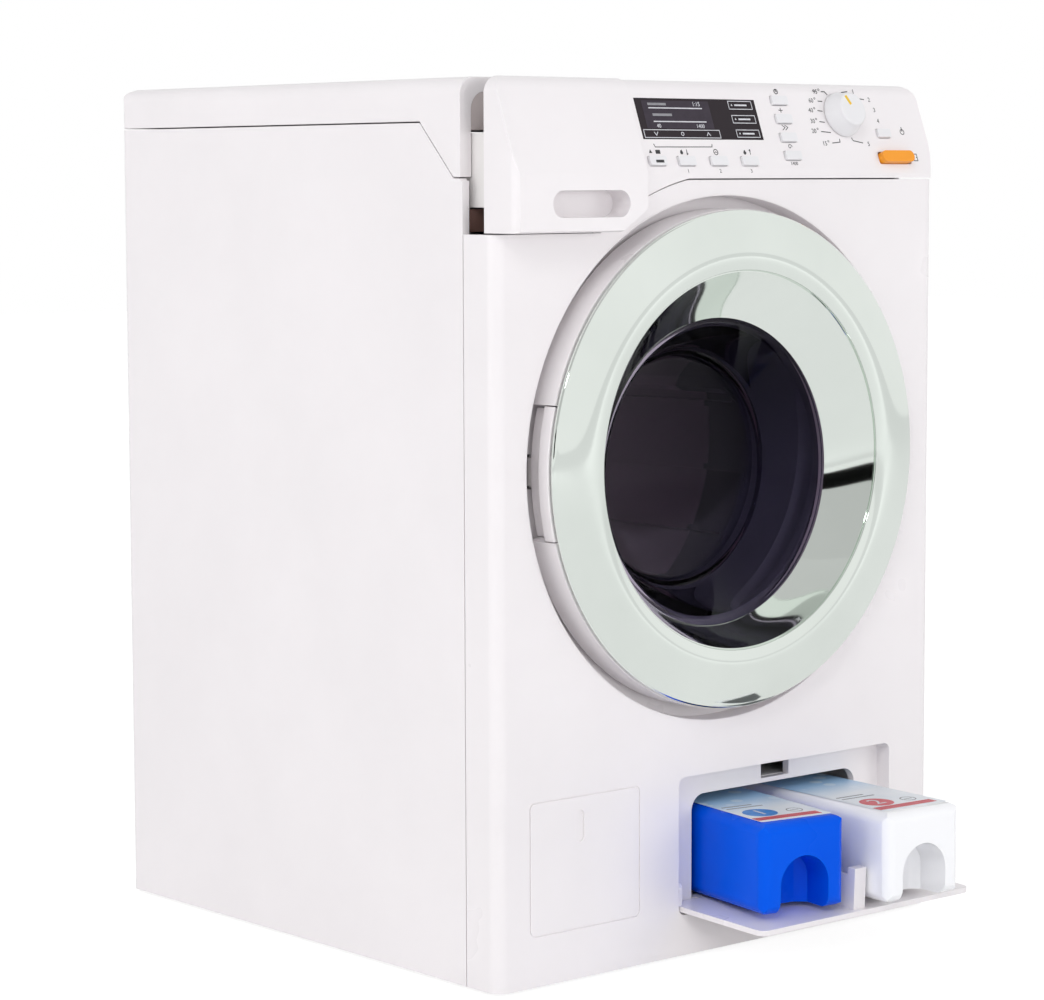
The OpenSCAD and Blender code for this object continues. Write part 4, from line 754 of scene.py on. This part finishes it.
def words(body, x, v, height):
    nothingSelected()
    bpy.ops.object.text_add(location=(x * mm, v * mm, 0))
    thing = bpy.context.active_object
    thing.data.body = body
    thing.data.size = height * textSet["scale"] * mm
    thing.data.align_x = "CENTER"
    thing.data.align_y = "CENTER"
    thing.data.resolution_u = textSet["curveSteps"]
    bpy.ops.object.convert(target="MESH")
    thing = bpy.context.active_object
    applyPlace(thing)
    return thing


def inkPiece(parts, name, thickness):
    piece = joinAll(parts, name)
    applyModifier(piece, "inkFilm", "SOLIDIFY", thickness=thickness, offset=1)
    return piece


faceSet = {"proud": 0.0005, "kink": 0.233, "slope": 20.5, "ink": 0.00004}  # ink is how far a mark stands off


def printOnFace(parts, name, ink, body="root", lift=0.0):
    piece = inkPiece(parts, name, faceSet["ink"])
    piece.location = (0, 0, lift * mm)
    applyPlace(piece)
    piece.rotation_euler.x = math.radians(90 - faceSet["slope"])
    piece.location = (0, panelFace - faceSet["proud"], faceSet["kink"])
    applyPlace(piece)
    giveMaterial(piece, inks[ink])
    finishPiece(piece, body)


dialMarks = {
    "ticks": [((49.3, 26.3), (50.2, 25.3)), ((45.4, 23.2), (47.2, 23.1)), ((44.2, 20.1), (46.2, 19.9)),
              ((43.8, 16.5), (45.9, 16.3)), ((43.4, 13.3), (47.4, 13.0)), ((47.0, 9.6), (50.4, 9.9)),
              ((56.4, 10.4), (60.4, 9.7)), ((56.8, 26.2), (59.4, 26.5)), ((62.8, 24.3), (66.0, 24.0))],
    "hooks": [((50.4, 9.9), (50.5, 10.9)), ((56.4, 10.4), (55.9, 11.3)), ((56.8, 26.2), (56.7, 25.5)),
              ((47.9, 26.3), (49.3, 26.3))],
    "width": 0.28, "height": 1.45,
    "degrees": [("95", 45.2, 26.2), ("60", 42.4, 23.3), ("40", 41.2, 20.1), ("30", 40.8, 16.6),
                ("20", 40.3, 13.4), ("15", 43.6, 9.4)],
    "degreeSign": {"right": 1.75, "up": 0.75, "radius": 0.36, "width": 0.14, "sides": 12},
    "numbers": [("1", 62.0, 26.5), ("2", 68.2, 23.9), ("3", 69.4, 20.5), ("4", 69.8, 16.9), ("5", 62.9, 9.3)],
}


def makeDialMarks():
    parts = [bar(*start, *end, dialMarks["width"]) for start, end in dialMarks["ticks"] + dialMarks["hooks"]]
    sign = dialMarks["degreeSign"]
    for text, x, v in dialMarks["degrees"]:
        parts.append(words(text, x, v, dialMarks["height"]))
        parts.append(hoop(x + sign["right"], v + sign["up"], sign["radius"], sign["width"], sign["sides"]))
    for text, x, v in dialMarks["numbers"]:
        parts.append(words(text, x, v, dialMarks["height"]))
    printOnFace(parts, "dialMarks", "black")


# icons over the keys: the row holds how far across each key is, the column how far up
keyMarks = {
    "row": {"start": -28.0, "fill": -16.4, "wash": -3.4, "drain": 9.4}, "iconLine": 6.5,
    "bracket": [(-27.6, 8.9), (-27.2, 8.0), (-4.4, 8.1), (-4.2, 8.9)],
    "numbers": {"fill": "1", "wash": "2", "drain": "3"}, "numberLine": 0.55, "numberHeight": 1.15,
    "column": {"timer": 23.0, "extra": 17.1, "short": 11.2, "spin": 5.4}, "columnX": 28.2,
    "drop": {"left": 0.9, "up": 6.3, "radius": 0.55}, "arrow": {"right": 1.3, "head": 0.5},
    "fillArrow": (7.2, 5.9, 5.9, -90), "drainArrow": (5.8, 7.0, 7.1, 90),  # tail, end, tip and turn
    "power": (79.4, 13.4), "door": (81.6, 3.9, 83.2, 6.1), "doorKnob": (82.9, 5.0, 0.18, 10),
    "circle": 0.95, "clock": 0.85, "line": 0.24, "thin": 0.192, "bold": 0.312,
}


def arrowIcon(x, tail, end, tip, turn):
    # a drop of water beside an arrow
    drop, arrow = keyMarks["drop"], keyMarks["arrow"]
    right = x + arrow["right"]
    stem = path([(right, tail), (right, end)], keyMarks["line"])
    head = arrowHead(right, tip, arrow["head"], turn)
    return waterDrop(x - drop["left"], drop["up"], drop["radius"]) + stem + [head]


def rowIcons():
    row, v, line = keyMarks["row"], keyMarks["iconLine"], keyMarks["line"]
    start, wash = row["start"], row["wash"]
    parts = path(keyMarks["bracket"], line)  # the bracket over three keys
    parts += [arrowHead(start - 1.6, v, 0.75), bar(start + 0.7, v, start + 1.9, v, 1.2)]  # run and stop
    parts += arrowIcon(row["fill"], *keyMarks["fillArrow"])
    parts.append(hoop(wash, v, keyMarks["circle"], line))
    parts += path([(wash - 0.5, v - 0.2), (wash - 0.1, v + 0.1), (wash + 0.5, v - 0.2)], keyMarks["thin"])
    parts += arrowIcon(row["drain"], *keyMarks["drainArrow"])
    for key, text in keyMarks["numbers"].items():
        parts.append(words(text, row[key], keyMarks["numberLine"], keyMarks["numberHeight"]))
    return parts


def columnIcons():
    x, line, thin = keyMarks["columnX"], keyMarks["line"], keyMarks["thin"]
    timer, extra, short, spin = keyMarks["column"].values()
    parts = [hoop(x, timer + 3.0, keyMarks["clock"], line)]
    parts += path([(x, timer + 3.5), (x, timer + 3.0), (x + 0.4, timer + 3.0)], thin)
    parts += path([(x - 0.8, extra + 2.9), (x + 0.8, extra + 2.9)], line)
    parts += path([(x, extra + 2.2), (x, extra + 3.6)], line)
    for left in (x - 1.1, x + 0.1):  # two chevrons
        parts += path([(left, short + 2.5), (left + 1.1, short + 3.3), (left, short + 4.0)], line)
    spiral = [(0.9 * (1 - i / 12), 0.7 * i) for i in range(10)]  # radius and angle
    parts += path([(x + r * math.cos(a), spin + 2.9 + r * math.sin(a)) for r, a in spiral], thin)
    parts.append(words("1400", x, spin - 2.5, 1.1))
    return parts


def makeKeyMarks():
    x, v = keyMarks["power"]
    power = [hoop(x, v, keyMarks["circle"], keyMarks["line"]), bar(x, v + 0.2, x, v + 1.5, keyMarks["bold"])]
    door = frameOf(*keyMarks["door"], keyMarks["line"]) + [disc(*keyMarks["doorKnob"])]
    printOnFace(rowIcons() + columnIcons() + power + door, "keyMarks", "black")


displayMarks = {
    "field": (-26.2, 18.1, -3.6, 18.1, 8.6), "fieldLift": 0.01, "markLift": 0.05,
    "lines": [(-26.0, 20.1, -4.7, 20.1), (-25.2, 15.9, -4.2, 15.9)],
    "line": 0.34, "frame": 0.22, "ring": 0.62,
    "chevron": {"inset": 4.7, "half": 0.7, "tall": 0.5, "line": 0.26},
    "boxArrow": (1.3, 0.42), "boxLine": (2.6, 2.2, 0.5),  # insets from the box's ends, then a size
    "soft": [(-25.9, 21.3, -19.0, 21.3, 0.75), (-24.9, 18.0, -17.6, 18.0, 0.75)],
    "texts": [("1:15", -6.6, 21.4, 1.35), ("40", -23.6, 14.5, 1.2), ("1400", -7.0, 14.5, 1.2)],
    "menu": (-30.2, 10.9, 0.2, 13.3),
    "boxes": [(6.7, 20.1, 16.3, 22.6), (6.9, 15.7, 16.4, 18.1), (7.2, 11.2, 16.6, 13.5)],
}


def boxMarks(x0, v0, x1, v1):
    middle = (v0 + v1) / 2
    inset, radius = displayMarks["boxArrow"]
    left, right, width = displayMarks["boxLine"]
    content = [arrowHead(x0 + inset, middle, radius), bar(x0 + left, middle, x1 - right, middle, width)]
    return frameOf(x0, v0, x1, v1, displayMarks["frame"]) + content


def chevron(x, middle, tall):
    half = displayMarks["chevron"]["half"]
    points = [(x - half, middle + tall), (x, middle - tall), (x + half, middle + tall)]
    return path(points, displayMarks["chevron"]["line"])


def menuMarks(x0, v0, x1, v1):
    middle = (v0 + v1) / 2
    inset, tall = displayMarks["chevron"]["inset"], displayMarks["chevron"]["tall"]
    marks = frameOf(x0, v0, x1, v1, displayMarks["frame"])
    marks += chevron(x0 + inset, middle, tall) + chevron(x1 - inset, middle, -tall)
    return marks + [hoop((x0 + x1) / 2, middle, displayMarks["ring"], displayMarks["frame"], 20)]


def makeDisplay():
    printOnFace([bar(*displayMarks["field"])], "displayField", "screen", lift=displayMarks["fieldLift"])
    marks = [bar(*line, displayMarks["line"]) for line in displayMarks["lines"]]
    marks += menuMarks(*displayMarks["menu"])
    for box in displayMarks["boxes"]:
        marks += boxMarks(*box)
    marks += [words(*text) for text in displayMarks["texts"]]
    printOnFace(marks, "displayMarks", "white", lift=displayMarks["markLift"])
    soft = [bar(*line) for line in displayMarks["soft"]]
    printOnFace(soft, "displayLines", "grey", lift=displayMarks["markLift"])


startMark = {"bar": (-28.9, 3.3, -26.2, 3.3, 0.85), "lift": 0.9}  # its key stands proud of the fascia
makeDialMarks()
makeKeyMarks()
makeDisplay()
printOnFace([bar(*startMark["bar"])], "startMark", "black", "key_start", lift=startMark["lift"])
print("marks on the fascia are laid")

# each refill bottle has a label: a pale field with bubbles, a numbered disc and a plain red bar
paperLook = {"colour": (0.80, 0.84, 0.88), "second": (0.76, 0.81, 0.86), "edge": (0.84, 0.87, 0.9),
             "rough": (0.3, 0.4), "bump": 0.02, "drift": 120.0, "wear": 0.1}
bubbleSet = {
    "field": (0.40, 0.62, 0.86), "fieldStart": -0.012, "fieldEnd": 0.004,
    "colour": (0.82, 0.9, 0.96), "scale": 150.0, "rim": (0.30, 0.34), "strength": 0.55,
}


def labelPaper(name):
    # the paper turns blue towards the back, and bubbles show on the blue
    mat = plastic(name, paperLook)
    tree = mat.node_tree
    base = tree.nodes["Principled BSDF"].inputs["Base Color"]
    plainPaper = base.links[0].from_socket
    place = objectPlace(tree)
    start, end = panelFace + bubbleSet["fieldStart"], panelFace + bubbleSet["fieldEnd"]
    far = shadeRange(tree, depthOf(tree, place), start, end, 0.0, 1.0)
    cells = addNode(tree, "TexVoronoi", {"Vector": place, "Scale": bubbleSet["scale"]})
    inside = shadeRange(tree, cells.outputs["Distance"], *bubbleSet["rim"], 1.0, 0.0)
    strength = mathNode(tree, "MULTIPLY", far, bubbleSet["strength"])
    field = mixColour(tree, far, plainPaper, bubbleSet["field"])
    bubbles = mathNode(tree, "MULTIPLY", inside, strength)
    plug(tree, base, mixColour(tree, bubbles, field, bubbleSet["colour"]))
    return mat


labelSet = {
    "one": {"node": "bottle_one", "corner": (-13.0, -28.5), "yaw": 9.5, "text": "1",
            "disc": (0.0, 0.22, 0.68), "second": (0.0, 0.19, 0.60)},
    "two": {"node": "bottle_two", "corner": (26.0, -41.5), "yaw": 4.0, "text": "2",
            "disc": (0.62, 0.028, 0.05), "second": (0.56, 0.022, 0.042)},
    "width": 25.8, "inset": 2.4, "front": 3.8, "length": 62.0, "rounding": 0.8, "film": 0.00005, "lift": 0.05,
    "bar": {"left": 1.2, "right": 3.4, "up": 3.7, "width": 3.6},
    "discCentre": (7.6, 11.6), "discRadius": 5.3, "discSides": 48, "figure": 6.2,
    "lines": {"left": 2.0, "right": 14.5, "up": 20.5, "step": 2.6, "shorter": 2.2, "width": 0.8},
    "sign": {"right": 19.0, "up": 10.0, "radius": 2.6, "line": 0.35, "half": 1.4, "bar": 0.4},
}


def layOnBottle(parts, label, part, material, lift):
    # parts are drawn from the front left corner of the bottle's top, and lift is how far they stand over it
    x, depth = label["corner"]
    piece = inkPiece(parts, "label" + label["text"] + part, labelSet["film"])
    piece.rotation_euler.z = math.radians(-label["yaw"])
    piece.location = (x * mm, panelFace + depth * mm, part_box(label["node"])[1].z + lift * mm)
    applyPlace(piece)
    giveMaterial(piece, material)
    finishPiece(piece, label["node"])
    piece.visible_glossy = False  # the red bars don't show in the ring's lip


def roundedPatch(x0, y0, x1, y1, radius):
    patch = flatPlane((x0 + x1) / 2, (y0 + y1) / 2, x1 - x0, y1 - y0)
    startEdit()
    bpy.ops.mesh.bevel(offset=radius * mm, segments=6, affect="VERTICES")
    endEdit()
    return patch


def printedLines(x0, y0):
    # two lines of text and a small sign beside the disc
    line, sign = labelSet["lines"], labelSet["sign"]
    parts = []
    for i in range(2):
        y = y0 + line["up"] + line["step"] * i
        parts.append(bar(x0 + line["left"], y, x0 + line["right"] - line["shorter"] * i, y, line["width"]))
    x, y = x0 + sign["right"], y0 + sign["up"]
    parts.append(hoop(x, y, sign["radius"], sign["line"]))
    parts.append(bar(x - sign["half"], y, x + sign["half"], y, sign["bar"]))
    return parts


def makeLabel(label):
    x0, y0, lift = labelSet["inset"], labelSet["front"], labelSet["lift"]
    x1, y1 = x0 + labelSet["width"], y0 + labelSet["length"]
    band, discX, discY = labelSet["bar"], x0 + labelSet["discCentre"][0], y0 + labelSet["discCentre"][1]
    bandY = y0 + band["up"]
    discInk = inkMaterial("disc" + label["text"], label["disc"], label["second"], (0.3, 0.4))
    patch = roundedPatch(x0, y0, x1, y1, labelSet["rounding"])
    layOnBottle([patch], label, "Paper", paper, 0.0)
    redBar = bar(x0 + band["left"], bandY, x1 - band["right"], bandY, band["width"])
    layOnBottle([redBar], label, "Bar", redInk, lift)
    numberDisc = disc(discX, discY, labelSet["discRadius"], labelSet["discSides"])
    layOnBottle([numberDisc], label, "Disc", discInk, lift)
    number = words(label["text"], discX, discY, labelSet["figure"])
    layOnBottle([number], label, "Number", inks["white"], 2 * lift)
    layOnBottle(printedLines(x0, y0), label, "Lines", inks["grey"], lift)


redInk = inkMaterial("printRed", (0.60, 0.035, 0.055), (0.54, 0.03, 0.05), (0.35, 0.45))
paper = labelPaper("labelPaper")
makeLabel(labelSet["one"])
makeLabel(labelSet["two"])
print("bottle labels are laid")
